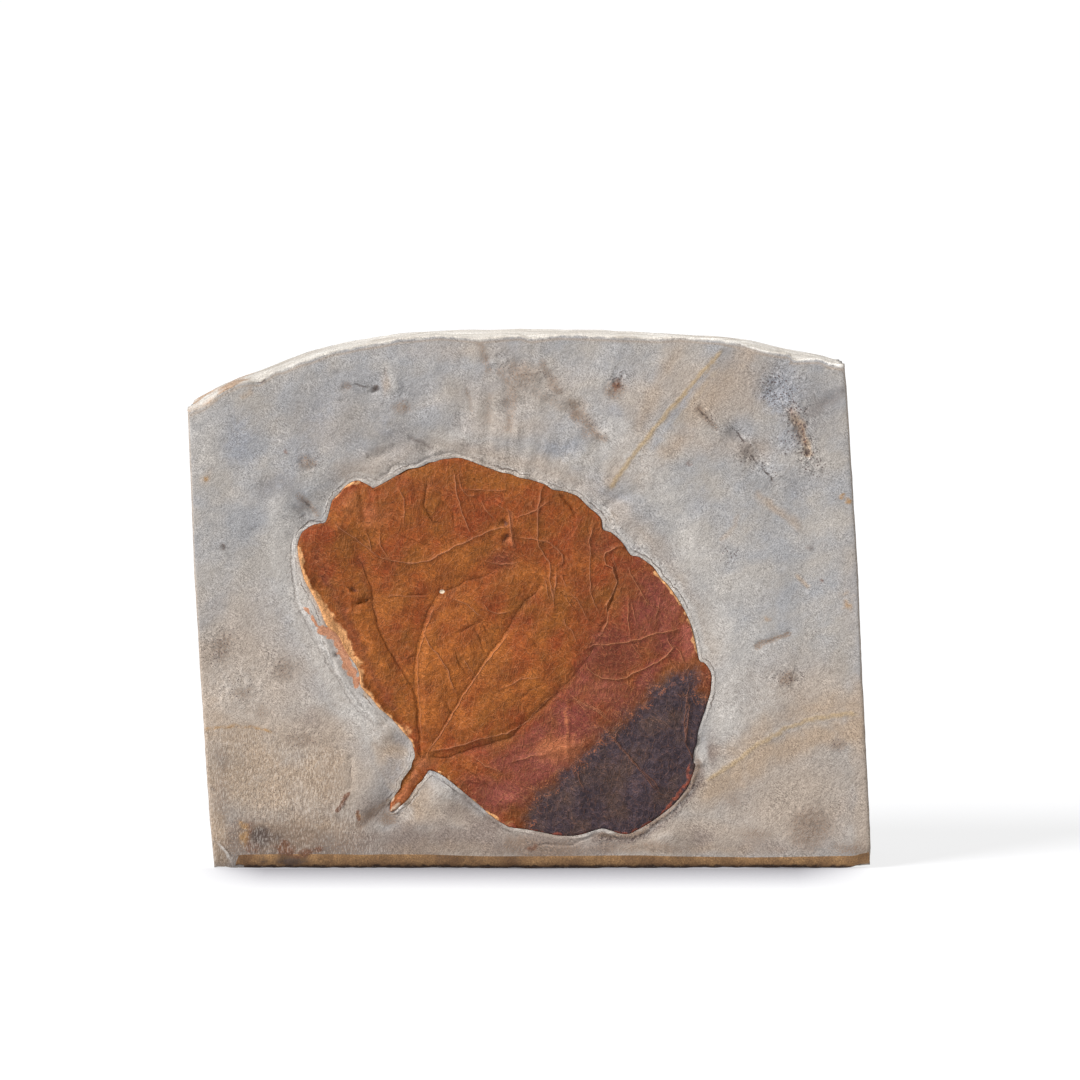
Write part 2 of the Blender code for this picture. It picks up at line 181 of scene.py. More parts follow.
# Hollows where the stone flaked off, and pits: a picture point of each, its radius and its depth in
# millimetres, below 0 for a mound
HOLLOWS = [
    ((757, 458), 7.0, 0.9), ((735, 436), 6.0, 0.8), ((370, 392), 5.0, 0.5), ((302, 512), 8.0, 0.9),
    ((386, 452), 7.0, 0.8), ((618, 497), 6.0, 0.8), ((400, 748), 7.0, 0.8), ((800, 428), 6.0, 0.5),
    ((338, 372), 1.6, 0.4), ((345, 388), 1.8, 0.5), ((343, 400), 1.2, 0.3), ((375, 391), 1.5, 0.9),
    ((258, 383), 1.8, 0.7), ((267, 489), 5.0, 0.3), ((284, 520), 4.0, 0.3), ((254, 534), 4.0, 0.3),
    ((485, 361), 3.0, 0.5), ((470, 398), 3.0, 0.3), ((488, 412), 4.5, 0.3), ((507, 407), 5.0, 0.4),
    ((516, 366), 4.0, 0.4), ((545, 380), 4.0, 0.5), ((575, 410), 4.5, 0.6), ((560, 452), 6.0, 0.4),
    ((616, 384), 4.0, 0.6), ((598, 446), 4.0, 0.4), ((428, 446), 4.0, 0.5), ((776, 392), 5.0, 0.4),
    ((690, 463), 1.6, 0.3), ((775, 678), 4.0, 0.3), ((263, 838), 4.5, 0.4), ((289, 861), 3.0, 0.4),
    ((334, 656), 1.2, 0.5), ((700, 742), 2.4, 0.5), ((389, 800), 4.0, 0.5), ((372, 816), 4.0, 0.5),
    ((392, 384), 4.0, -0.7), ((462, 440), 5.0, -0.5), ((512, 432), 5.0, -0.5), ((640, 410), 9.0, -0.5),
    ((440, 415), 8.0, -0.4), ((720, 640), 10.0, -0.4), ((300, 650), 9.0, -0.4), ((590, 385), 6.0, -0.4),
    ((446, 792), 7.0, -0.6), ((665, 838), 7.0, -0.5), ((790, 470), 7.0, -0.4), ((700, 762), 2.6, -0.6),
    ((335, 425), 8.0, -0.4), ((570, 430), 6.0, -0.4),
]

# Lines in the stone's relief: picture points, then in millimetres the height (below 0 for a groove) and
# how far it spreads to the left and to the right of the line's direction
STONE_LINES = [
    ([(383, 475), (390, 469), (397, 466), (418, 464), (432, 456), (440, 453), (455, 453), (490, 465),
      (520, 474)], -0.35, 0.4, 0.45),
    ([(300, 528), (308, 524), (316, 521), (322, 522)], -0.4, 0.4, 0.4),
    ([(340, 489), (345, 483), (351, 479), (358, 478), (366, 478), (374, 481), (381, 481)], -0.2, 0.4, 0.4),
    ([(600, 831), (610, 835), (622, 838), (632, 838), (640, 835), (665, 816), (690, 790), (695, 775)],
      0.2, 0.6, 0.5),
    ([(540, 845), (570, 845), (585, 840), (598, 833)], -0.25, 0.5, 0.4),
    ([(445, 783), (500, 828), (520, 838)], -0.3, 0.5, 0.5),
    ([(314, 627), (328, 652), (338, 674), (355, 695), (367, 712), (376, 720), (385, 727)], -0.4, 0.5, 0.6),
    ([(268, 728), (277, 754), (320, 775), (328, 789)], 0.3, 1.0, 0.8),
    ([(351, 790), (352, 757)], -0.45, 1.2, 0.8), ([(357, 385), (366, 385), (374, 389)], -0.2, 0.5, 1.2),
    ([(303, 500), (314, 512)], -0.5, 0.7, 0.8), ([(296, 508), (306, 520)], -0.4, 0.7, 0.7),
    ([(301, 462), (310, 470)], -0.4, 0.7, 0.8), ([(369, 458), (396, 448)], -0.4, 0.8, 1.2),
    ([(412, 437), (428, 452)], -0.4, 0.7, 0.8), ([(468, 385), (472, 413)], -0.22, 1.0, 1.0),
    ([(487, 392), (489, 428)], -0.28, 1.2, 1.4), ([(507, 384), (509, 430)], -0.3, 1.4, 1.4),
    ([(528, 363), (560, 392), (594, 425)], -0.35, 1.8, 2.2), ([(700, 408), (714, 426)], -0.5, 0.7, 1.0),
    ([(736, 430), (757, 452), (778, 483)], -0.45, 0.5, 1.8),
    ([(742, 428), (762, 448), (784, 478)], 0.3, 1.6, 0.8), ([(606, 506), (636, 490)], -0.35, 1.2, 1.6),
    ([(789, 408), (800, 430), (809, 454)], -0.4, 0.8, 0.8), ([(757, 646), (789, 633)], -0.3, 0.8, 0.8),
    ([(808, 410), (840, 396)], -0.3, 1.4, 1.4), ([(351, 792), (336, 813)], 0.35, 0.8, 0.8),
    ([(397, 812), (408, 800)], 0.3, 0.6, 0.6),
    ([(300, 575), (312, 612), (330, 655), (356, 700), (385, 735)], 0.4, 2.0, 1.2),
    ([(214, 841), (230, 861), (234, 868)], -0.4, 0.6, 0.6),
    ([(701, 784), (733, 764), (757, 745), (786, 728), (815, 719), (839, 714), (864, 714)], 0.12, 1.0, 0.8),
    ([(725, 346), (701, 373), (636, 451), (604, 492)], 0.12, 0.8, 0.8),
]


def on_plate(points, behind=0.0):
    """Picture points as x and z where the line of sight meets the front's plane, or one so far behind it."""
    picked = np.asarray(points, float)
    right = (picked[..., 0] - PICTURE_CENTRE) * PLATE_PER_PIXEL
    up = (PICTURE_CENTRE - picked[..., 1]) * PLATE_PER_PIXEL
    reach = (eye_back + behind) / (eye_back + up * math.sin(EYE_PITCH))
    rise = reach * (up * math.cos(EYE_PITCH) - eye_up)
    return np.stack([AIM_X + reach * right, AIM_Z + eye_up + rise], axis=-1)


def smooth_step(value):
    """0 below 0, 1 above 1, and the S of 3 v v - 2 v v v between."""
    share = np.clip(value, 0.0, 1.0)
    return share * share * (3.0 - 2.0 * share)


def fade(gap, reach):
    """1 where the gap is 0 and 0 from the reach on, with a smooth step between."""
    return 1.0 - smooth_step(gap / reach)


def bell(gap, spread):
    """1 where the gap is 0, falling as exp(-(gap / spread)^2)."""
    return np.exp(-((gap / spread) ** 2))


def distance_to(points, middle):
    """Distance of each point to one middle."""
    return np.hypot(*(points - middle).T)


def side_distance(points, line):
    """Distance of each point to the nearest run of a line, above 0 on the left of the line's direction."""
    nearest = np.full(len(points), np.inf)
    for start, end in zip(line[:-1], line[1:]):
        run, offset = end - start, points - start
        share = np.clip(offset @ run / (run @ run), 0.0, 1.0)
        gap = np.hypot(*(offset - share[:, None] * run).T)
        side = np.where(run[0] * offset[:, 1] - run[1] * offset[:, 0] < 0.0, -1.0, 1.0)
        nearest = np.where(gap < np.abs(nearest), side * gap, nearest)
    return nearest


def carved(points, hollows, lines):
    """Relief of lines, each a bell over the distance to it, less that of hollows that fade from a middle."""
    relief = np.zeros(len(points))
    for middle, radius, depth in hollows:
        relief -= depth * MM * fade(distance_to(points, on_plate(middle)), radius * MM)
    for line, rise, left, right in lines:
        gap = side_distance(points, on_plate(line))
        relief += rise * MM * bell(gap, np.where(gap > 0.0, left, right) * MM)
    return relief


def inside(points, loop):
    """True for each point inside a closed loop: a ray to its right crosses it an odd number of times."""
    crossed = np.zeros(len(points), bool)
    x, z = points.T
    for (x0, z0), (x1, z1) in zip(loop, np.roll(loop, -1, axis=0)):
        if z0 != z1:
            crossed ^= ((z0 > z) != (z1 > z)) & (x < x0 + (z - z0) * (x1 - x0) / (z1 - z0))
    return crossed


def uneven(points, cell, octaves, seed):
    """Uneven relief between about -1 and 1.

    Random values at the corners of square cells, blended across each cell by smooth steps. Each further
    octave has cells and values half as large and is turned by another 37 degrees.
    """
    corner_count, octave_turn = 64, math.radians(37.0)
    total = np.zeros(len(points))
    for octave in range(octaves):
        corners = np.random.default_rng(seed + octave).uniform(-1.0, 1.0, (corner_count, corner_count))
        turn = octave_turn * (octave + 1)
        turned = points @ np.array([[math.cos(turn), math.sin(turn)], [-math.sin(turn), math.cos(turn)]])
        place = turned * 2.0**octave / cell
        whole = np.floor(place).astype(int)
        across, up = smooth_step(place - whole).T
        x, z = whole.T % corner_count
        beside, above = (x + 1) % corner_count, (z + 1) % corner_count
        lower = corners[x, z] * (1.0 - across) + corners[beside, z] * across
        upper = corners[x, above] * (1.0 - across) + corners[beside, above] * across
        total += (lower * (1.0 - up) + upper * up) / 2.0**octave
    return total


# The most that three octaves of it reach
MOST_UNEVEN = 1.75


def wander(points, cell, octaves, seed):
    """A shift of each point sideways and up, each an uneven relief of its own."""
    return np.stack([uneven(points, cell, octaves, seed), uneven(points, cell, octaves, seed + 1)], axis=-1)


def rolling(points):
    """Low uneven relief of split stone: three crossed waves, each quicker and lower than the last."""
    x, z = points[:, 0] / STONE_ROLL_LENGTH, points[:, 1] / STONE_ROLL_LENGTH
    slow = np.sin(2.1 * x + 1.3 * z + 0.7) * np.sin(1.7 * z - 0.8 * x + 2.1)
    middle = np.sin(4.3 * x - 3.1 * z + 1.9) * np.sin(3.7 * z + 2.2 * x)
    quick = np.sin(8.9 * x + 6.1 * z + 0.3) * np.sin(7.3 * z - 6.7 * x + 1.1)
    return STONE_ROLL * (0.55 * slow + 0.3 * middle + 0.15 * quick)


def smooth_loop(points, count):
    """A closed curve through points, count of its points evenly spaced along it (Catmull-Rom cubics)."""
    steps_between = 40
    before, after, later = (np.roll(points, shift, axis=0) for shift in (1, -1, -2))
    share = np.linspace(0.0, 1.0, steps_between, endpoint=False)[None, :, None]
    here, before, after, later = (corner[:, None, :] for corner in (points, before, after, later))
    slope_in, slope_out = (after - before) / 2.0, (later - here) / 2.0
    curve = (
        (2.0 * share**3 - 3.0 * share**2 + 1.0) * here + (share**3 - 2.0 * share**2 + share) * slope_in
        + (3.0 * share**2 - 2.0 * share**3) * after + (share**3 - share**2) * slope_out
    ).reshape(-1, 2)
    closed = np.vstack([curve, curve[:1]])
    length = np.concatenate([[0.0], np.cumsum(np.hypot(*np.diff(closed, axis=0).T))])
    wanted = np.linspace(0.0, length[-1], count, endpoint=False)
    return np.stack([np.interp(wanted, length, closed[:, 0]), np.interp(wanted, length, closed[:, 1])], -1)


def outwards(loop):
    """Unit normals that point out of a clockwise loop of evenly spaced points."""
    run = np.roll(loop, -3, axis=0) - np.roll(loop, 3, axis=0)
    normal = np.stack([-run[:, 1], run[:, 0]], axis=-1)
    return normal / np.hypot(*normal.T)[:, None]


MARGIN = smooth_loop(on_plate(MARGIN_PX), MARGIN_SAMPLES)
MARGIN_CLOSED = np.vstack([MARGIN[::16], MARGIN[:1]])
LEAF_CENTRE = on_plate(LEAF_CENTRE_PX)
LEAF_MIDDLE = on_plate(MARGIN_PX).mean(axis=0)
LEAF_REACH = np.ptp(MARGIN, axis=0).max() / 2.0


def stone_height(points):
    """How far the stone stands out of the front plane.

    It rolls, is scraped down towards the leaf, deepest along the leaf's left, and has hollows,
    mounds, cracks and the grooves and lips of the scraping. What stands out most is worn to half of that.
    """
    from_leaf = np.abs(side_distance(points, MARGIN_CLOSED))
    depth = SCRAPED_DEPTH - SCRAPED_DEPTH_CHANGE * (points[:, 0] - LEAF_MIDDLE[0]) / LEAF_REACH
    height = rolling(points) - depth * fade(from_leaf, SCRAPED_WIDTH)
    rougher = (1.0 - SMOOTHEST) * bell(distance_to(points, on_plate(ROUGH_CENTRE_PX)), ROUGH_REACH)
    height += SWELL_RISE * uneven(points, SWELL_LENGTH, 2, seed=21)
    height += LUMP_RISE * (SMOOTHEST + rougher) * uneven(points, LUMP_LENGTH, 2, seed=31)
    offset = points - LEAF_CENTRE
    spokes = np.stack([np.arctan2(*offset.T) * LEAF_REACH, np.hypot(*offset.T) / SCRAPE_STRETCH], axis=-1)
    scrapes = np.exp(-from_leaf / SCRAPE_REACH) * uneven(spokes, SCRAPE_WIDTH, 2, seed=23)
    height += SCRAPE_DEPTH * rougher * scrapes + LIP_RISE * bell(from_leaf - LIP_FROM_LEAF, LIP_SPREAD)
    height += carved(points + WANDER_BY * wander(points, WANDER_LENGTH, 2, seed=11), HOLLOWS, STONE_LINES)
    return height - 0.5 * np.maximum(height - WORN_ABOVE, 0.0)


# Picture points of the main veins, from the leaf's foot outwards, and of the knob by the top
VEINS_PX = [
    [(420, 748), (416, 696), (397, 663), (379, 630), (372, 590), (357, 556)],
    [(422, 745), (414, 672), (427, 615), (441, 592), (475, 578.5), (497, 568)],
    [(425, 757), (447, 720.5), (473, 680), (507, 631), (541, 584)],
    [(425, 757), (460, 753), (507, 739), (530, 718.5), (557, 693)],
]
KNOB_PX = (510, 527)
FILM_LEVEL = -0.6 * MM
PILLOW_RISE = 0.95 * MM
PILLOW_WIDTH = 6.0 * MM
MARGIN_FALL_LEFT = 0.9 * MM
MARGIN_FALL_RIGHT = 0.8 * MM
MARGIN_WIDTH_LEFT = 5.0 * MM
MARGIN_WIDTH_RIGHT = 13.0 * MM
KNOB_RISE = 0.6 * MM
KNOB_RADIUS = 3.2 * MM


def film_form(points):
    """How far the film stands out of the front plane: creased along the veins, fallen off at the margin."""
    from_vein = np.min([np.abs(side_distance(points, on_plate(vein))) for vein in VEINS_PX], axis=0)
    from_margin = np.abs(side_distance(points, MARGIN_CLOSED))
    pillow = PILLOW_RISE * (1.0 - np.exp(-from_vein / PILLOW_WIDTH))
    rightness = smooth_step((points[:, 0] - LEAF_CENTRE[0]) / LEAF_REACH + 0.5)
    margin_width = MARGIN_WIDTH_LEFT + (MARGIN_WIDTH_RIGHT - MARGIN_WIDTH_LEFT) * rightness
    fall = MARGIN_FALL_LEFT + (MARGIN_FALL_RIGHT - MARGIN_FALL_LEFT) * rightness
    knob = KNOB_RISE * fade(distance_to(points, on_plate(KNOB_PX)), KNOB_RADIUS)
    return FILM_LEVEL + pillow - fall * fade(from_margin, margin_width) + knob


def clockwise_angle(points):
    """Angle about the leaf's centre, growing clockwise from straight down, unrolled along a loop."""
    offset = points - LEAF_CENTRE
    return np.unwrap(np.arctan2(-offset[:, 0], -offset[:, 1]))


def top_height(x, share):
    """Height of the top at a share of the way back.

    It passes from the front edge's line, which wanders as it goes back, to the back edge's, with ledges
    that are the product of two slanting waves.
    """
    front_edge, back_edge = on_plate(TOP_FRONT_PX), on_plate(TOP_BACK_PX, BACK_Y - FRONT_Y)
    wandered = x + LEDGE_WANDER * np.sin(8.0 * share)
    front = np.interp(wandered, front_edge[:, 0], front_edge[:, 1]) + EDGE_WEAR
    back = np.interp(x, back_edge[:, 0], back_edge[:, 1])
    ledges = np.sin(x / LEDGE_LENGTH + 23.0 * share) * np.sin(x / LEDGE_CROSSING - 9.0 * share)
    return front + (back - front) * math.sqrt(share) + LEDGE_HEIGHT * ledges * math.sin(math.pi * share)


def outline(side, along, share, inset, foot):
    """x and z of the slab's outline at a share of its depth, drawn in by inset, its base at height foot.

    side counts the left end, the top, the right end and the base, and along runs 0 to 1 down each of
    them, clockwise from the lower left corner.
    """
    left_end, right_end = on_plate(LEFT_END_PX), on_plate(RIGHT_END_PX)
    foot = np.broadcast_to(foot, along.shape)
    left_top = top_height(left_end[-1, 0] + inset, share) - inset
    right_top = top_height(right_end[-1, 0] - inset, share) - inset
    left_z = foot + (left_top - foot) * along
    right_z = right_top + (foot - right_top) * along
    left_x = np.interp(left_z, left_end[:, 1], left_end[:, 0]) + inset
    right_x = np.interp(right_z, right_end[:, 1], right_end[:, 0]) - inset
    first, last = left_end[-1, 0] + inset, right_end[-1, 0] - inset
    top_x = first + (last - first) * along
    base_left = np.interp(foot, left_end[:, 1], left_end[:, 0]) + inset
    base_right = np.interp(foot, right_end[:, 1], right_end[:, 0]) - inset
    base_x = base_right + (base_left - base_right) * along
    x = np.choose(side, [left_x, top_x, right_x, base_x])
    z = np.choose(side, [left_z, top_height(top_x, share) - inset, right_z, foot])
    return np.stack([x, z], axis=-1)


def foot_line(x):
    """Height of the foot's crisp upper edge on the front face."""
    line = on_plate(FOOT_LINE_PX)
    return np.interp(x, line[:, 0], line[:, 1])


def outline_on_foot(side, along):
    """The front face's outline with its base on the foot line, and the foot line's height at each point."""
    level = outline(side, along, 0.0, EDGE_WEAR, foot_line(0.0))
    height = foot_line(level[:, 0])
    return outline(side, along, 0.0, EDGE_WEAR, height), height


def round_inset(share):
    """How far an edge, worn to a quarter round, is drawn in at a share of the round's depth from its face."""
    return EDGE_WEAR * (1.0 - math.sqrt(1.0 - (1.0 - share) ** 2))


# The slab's grid: stations run clockwise round it, rings run from the middle of the pocket's floor over
# the front, the edges and the back. The stations crowd where the leaf's margin or the outline is long.
STATIONS = 800
FACE_RINGS = 94
SIDE_RINGS = 10
FLOOR_SHARES = (0.45, 0.8, 1.0)
BACK_SHARES = (0.985, 0.94, 0.87, 0.79, 0.7, 0.6, 0.49, 0.37, 0.24, 0.12)
BACK_ROUGHNESS = 0.45 * MM
BACK_LUMP = 15.0 * MM
RING_CROWDING = 1.35
MARGIN_CROWDING = 0.4
OUTLINE_CROWDING = 0.4
SIDE_SAMPLES = 1000
TURN_SAMPLES = 8001

fine = np.linspace(0.0, 1.0, SIDE_SAMPLES, endpoint=False)
fine_outline, _ = outline_on_foot(np.repeat(np.arange(4), SIDE_SAMPLES), np.tile(fine, 4))
outline_angle = clockwise_angle(fine_outline)
margin_angle = np.maximum.accumulate(clockwise_angle(MARGIN))
start_angle = outline_angle[0]
full_turn = 2.0 * math.pi
turned = np.linspace(0.0, full_turn, TURN_SAMPLES)


def length_share(loop, angle):
    """Share of a loop's length that lies within each angle turned from the start."""
    length = np.concatenate([[0.0], np.cumsum(np.hypot(*np.diff(np.vstack([loop, loop[:1]]), axis=0).T))])
    from_start = np.concatenate([angle - full_turn, angle, angle + full_turn]) - start_angle
    lengths = np.concatenate([length[:-1] - length[-1], length[:-1], length[:-1] + length[-1]])
    at_angle = np.interp(turned, from_start, lengths)
    return (at_angle - at_angle[0]) / length[-1]


crowding = MARGIN_CROWDING * length_share(MARGIN, margin_angle)
crowding += OUTLINE_CROWDING * length_share(fine_outline, outline_angle)
crowding += (1.0 - MARGIN_CROWDING - OUTLINE_CROWDING) * turned / full_turn
station_angle = np.interp(np.arange(STATIONS) / STATIONS, crowding, turned)
corner_angle = outline_angle[::SIDE_SAMPLES] - start_angle
station_angle[[np.abs(station_angle - corner).argmin() for corner in corner_angle]] = corner_angle

fine_place = np.arange(4 * SIDE_SAMPLES) / SIDE_SAMPLES
position = np.interp(station_angle, outline_angle - start_angle, fine_place)
station_side = np.minimum(position.astype(int), 3)
station_along = position - station_side
from_margin_start = (station_angle + start_angle - margin_angle[0]) % full_turn
rim_place = np.interp(from_margin_start, margin_angle - margin_angle[0], np.arange(MARGIN_SAMPLES))
rim = (MARGIN + RIM_GAP * outwards(MARGIN))[np.round(rim_place).astype(int) % MARGIN_SAMPLES]
is_base, is_top = station_side == 3, station_side == 1
front_line, foot_height = outline_on_foot(station_side, station_along)

rings, depths = [], []
for share in FLOOR_SHARES:
    ring = LEAF_CENTRE + share * (rim - LEAF_CENTRE)
    rings.append(ring)
    depths.append(FRONT_Y - film_form(ring) + FILM_THICKNESS + FLOOR_GAP)
for share in np.linspace(0.0, 1.0, FACE_RINGS) ** RING_CROWDING:
    rings.append(rim + share * (front_line - rim))
face = slice(len(FLOOR_SHARES), len(FLOOR_SHARES) + FACE_RINGS)
face_height = stone_height(np.vstack(rings[face])).reshape(FACE_RINGS, STATIONS)
depths += list(FRONT_Y - face_height)
edge_height = face_height[-1]
# The worn front edge, whose base is the foot's chamfer
for share, foot_left in ((0.35, 0.5), (1.0, 0.0)):
    rings.append(outline(station_side, station_along, 0.0, round_inset(share), foot_height * foot_left))
    chamfer = np.where(is_base, FOOT_CHAMFER * (1.0 - foot_left), EDGE_WEAR * share)
    depths.append(FRONT_Y + chamfer - edge_height)
# The top, ends and base, then the worn back edge
for share in np.linspace(0.0, 1.0, SIDE_RINGS + 2)[1:-1]:
    rings.append(outline(station_side, station_along, share, 0.0, 0.0))
    depths.append(FRONT_Y + share * (BACK_Y - FRONT_Y) - (1.0 - share) ** 3 * edge_height)
for share in (1.0, 0.35, 0.0):
    inset = round_inset(share)
    rings.append(outline(station_side, station_along, 1.0, inset, inset))
    depths.append(np.full(STATIONS, BACK_Y - EDGE_WEAR * share))
back_line = rings[-1]
for share in BACK_SHARES:
    ring = LEAF_CENTRE + share * (back_line - LEAF_CENTRE)
    rings.append(ring)
    split = uneven(ring, BACK_LUMP, 3, seed=41) - MOST_UNEVEN
    depths.append(BACK_Y + rolling(ring * 1.3) - STONE_ROLL + BACK_ROUGHNESS * split)

# The top is rough and the ends a little, inwards only, in lumps that are longer round the slab than through
SIDE_LUMP = 4.0 * MM
SIDE_STRETCH = 2.5
TOP_ROUGHNESS = 0.8 * MM
END_ROUGHNESS = 0.12 * MM
grid = np.stack([np.array(rings)[..., 0], np.array(depths), np.array(rings)[..., 1]], axis=-1)
ring_count = len(grid)
side_rings = slice(face.stop + 1, ring_count - len(BACK_SHARES) - 1)
round_length = np.cumsum(np.hypot(*np.diff(front_line, axis=0, append=front_line[:1]).T))
side_place = np.broadcast_arrays(round_length / SIDE_STRETCH, grid[side_rings, :, 1])
side_relief = uneven(np.stack(side_place, axis=-1).reshape(-1, 2), SIDE_LUMP, 3, seed=51)
side_relief = (MOST_UNEVEN - side_relief).reshape(-1, STATIONS) / (2.0 * MOST_UNEVEN)
side_relief *= np.select([is_top, is_base], [TOP_ROUGHNESS, 0.0], END_ROUGHNESS)
side_relief *= 0.5 + np.sin(np.linspace(0.0, math.pi, len(side_relief)))[:, None]
inwards = LEAF_CENTRE - front_line
inwards = np.where((is_top | is_base)[:, None], [0.0, -1.0], np.sign(inwards) * [1.0, 0.0])
grid[side_rings, :, 0] += side_relief * inwards[:, 0]
grid[side_rings, :, 2] += side_relief * inwards[:, 1]

# The front's edge is jagged, most at the top, and the foot's edge is nicked
along_edge = np.stack([round_length, np.zeros(STATIONS)], axis=-1)
jag = uneven(along_edge, JAG_LENGTH, 2, seed=101) + 0.5 * uneven(along_edge, LONG_JAG_LENGTH, 1, seed=111)
jag = (jag + 1.5) / 3.0 * np.select([is_top, is_base], [TOP_JAG, FOOT_JAG], END_JAG)
jag_inwards = np.where(is_base[:, None], [0.0, 1.0], inwards)
# Share of it that each ring takes, from the face's third last on; on the base only the foot's lower edge does
JAG_SHARES = (0.15, 0.4, 1.0, 1.0, 0.8, 0.4, 0.15)
for ring, share in enumerate(JAG_SHARES, face.stop - 3):
    taken = jag * np.where(is_base & (ring != face.stop + 1), 0.0, share)
    grid[ring, :, 0] += taken * jag_inwards[:, 0]
    grid[ring, :, 2] += taken * jag_inwards[:, 1]
for corner, reach, chip_in, chip_back, chip_up in CHIPPED_CORNERS:
    corner_x = on_plate(corner)[0]
    from_corner = np.linalg.norm(grid - [corner_x, FRONT_Y, 0.0], axis=-1)
    near = np.clip(1.0 - from_corner / (reach * MM), 0.0, 1.0)[..., None]
    grid += near * MM * np.array([-np.sign(corner_x) * chip_in, chip_back, chip_up])
grid = np.clip(grid, *cad_box)
floor_pole = [LEAF_CENTRE[0], grid[0, :, 1].mean(), LEAF_CENTRE[1]]
back_pole = [LEAF_CENTRE[0], grid[-1, :, 1].mean(), LEAF_CENTRE[1]]


def closed_grid(rows, count):
    """Faces of rows of vertices round a form, with a pole before the first row and one after the last."""
    here = np.arange(rows * count).reshape(rows, count)
    beside = np.roll(here, -1, axis=1)
    quads = np.stack([here[:-1], beside[:-1], beside[1:], here[1:]], axis=-1).reshape(-1, 4)
    pole, far_pole = np.full(count, rows * count), np.full(count, rows * count + 1)
    near_cap = np.stack([pole, beside[0], here[0]], axis=-1)
    far_cap = np.stack([far_pole, here[-1], beside[-1]], axis=-1)
    return quads.tolist() + near_cap.tolist() + far_cap.tolist()


def new_piece(name, vertices, faces, finish, marks):
    """A smooth mesh object at the origin, with a number for each vertex under the name of each mark."""
    mesh = bpy.data.meshes.new(name)
    mesh.from_pydata(vertices.tolist(), [], faces)
    for mark_name, values in marks.items():
        attribute = mesh.attributes.new(mark_name, "FLOAT", "POINT")
        attribute.data.foreach_set("value", values.astype(np.float32))
    mesh.materials.append(finish)
    mesh.shade_smooth()
    mesh.update()
    made = bpy.data.objects.new(name, mesh)
    bpy.context.scene.collection.objects.link(made)
    return made


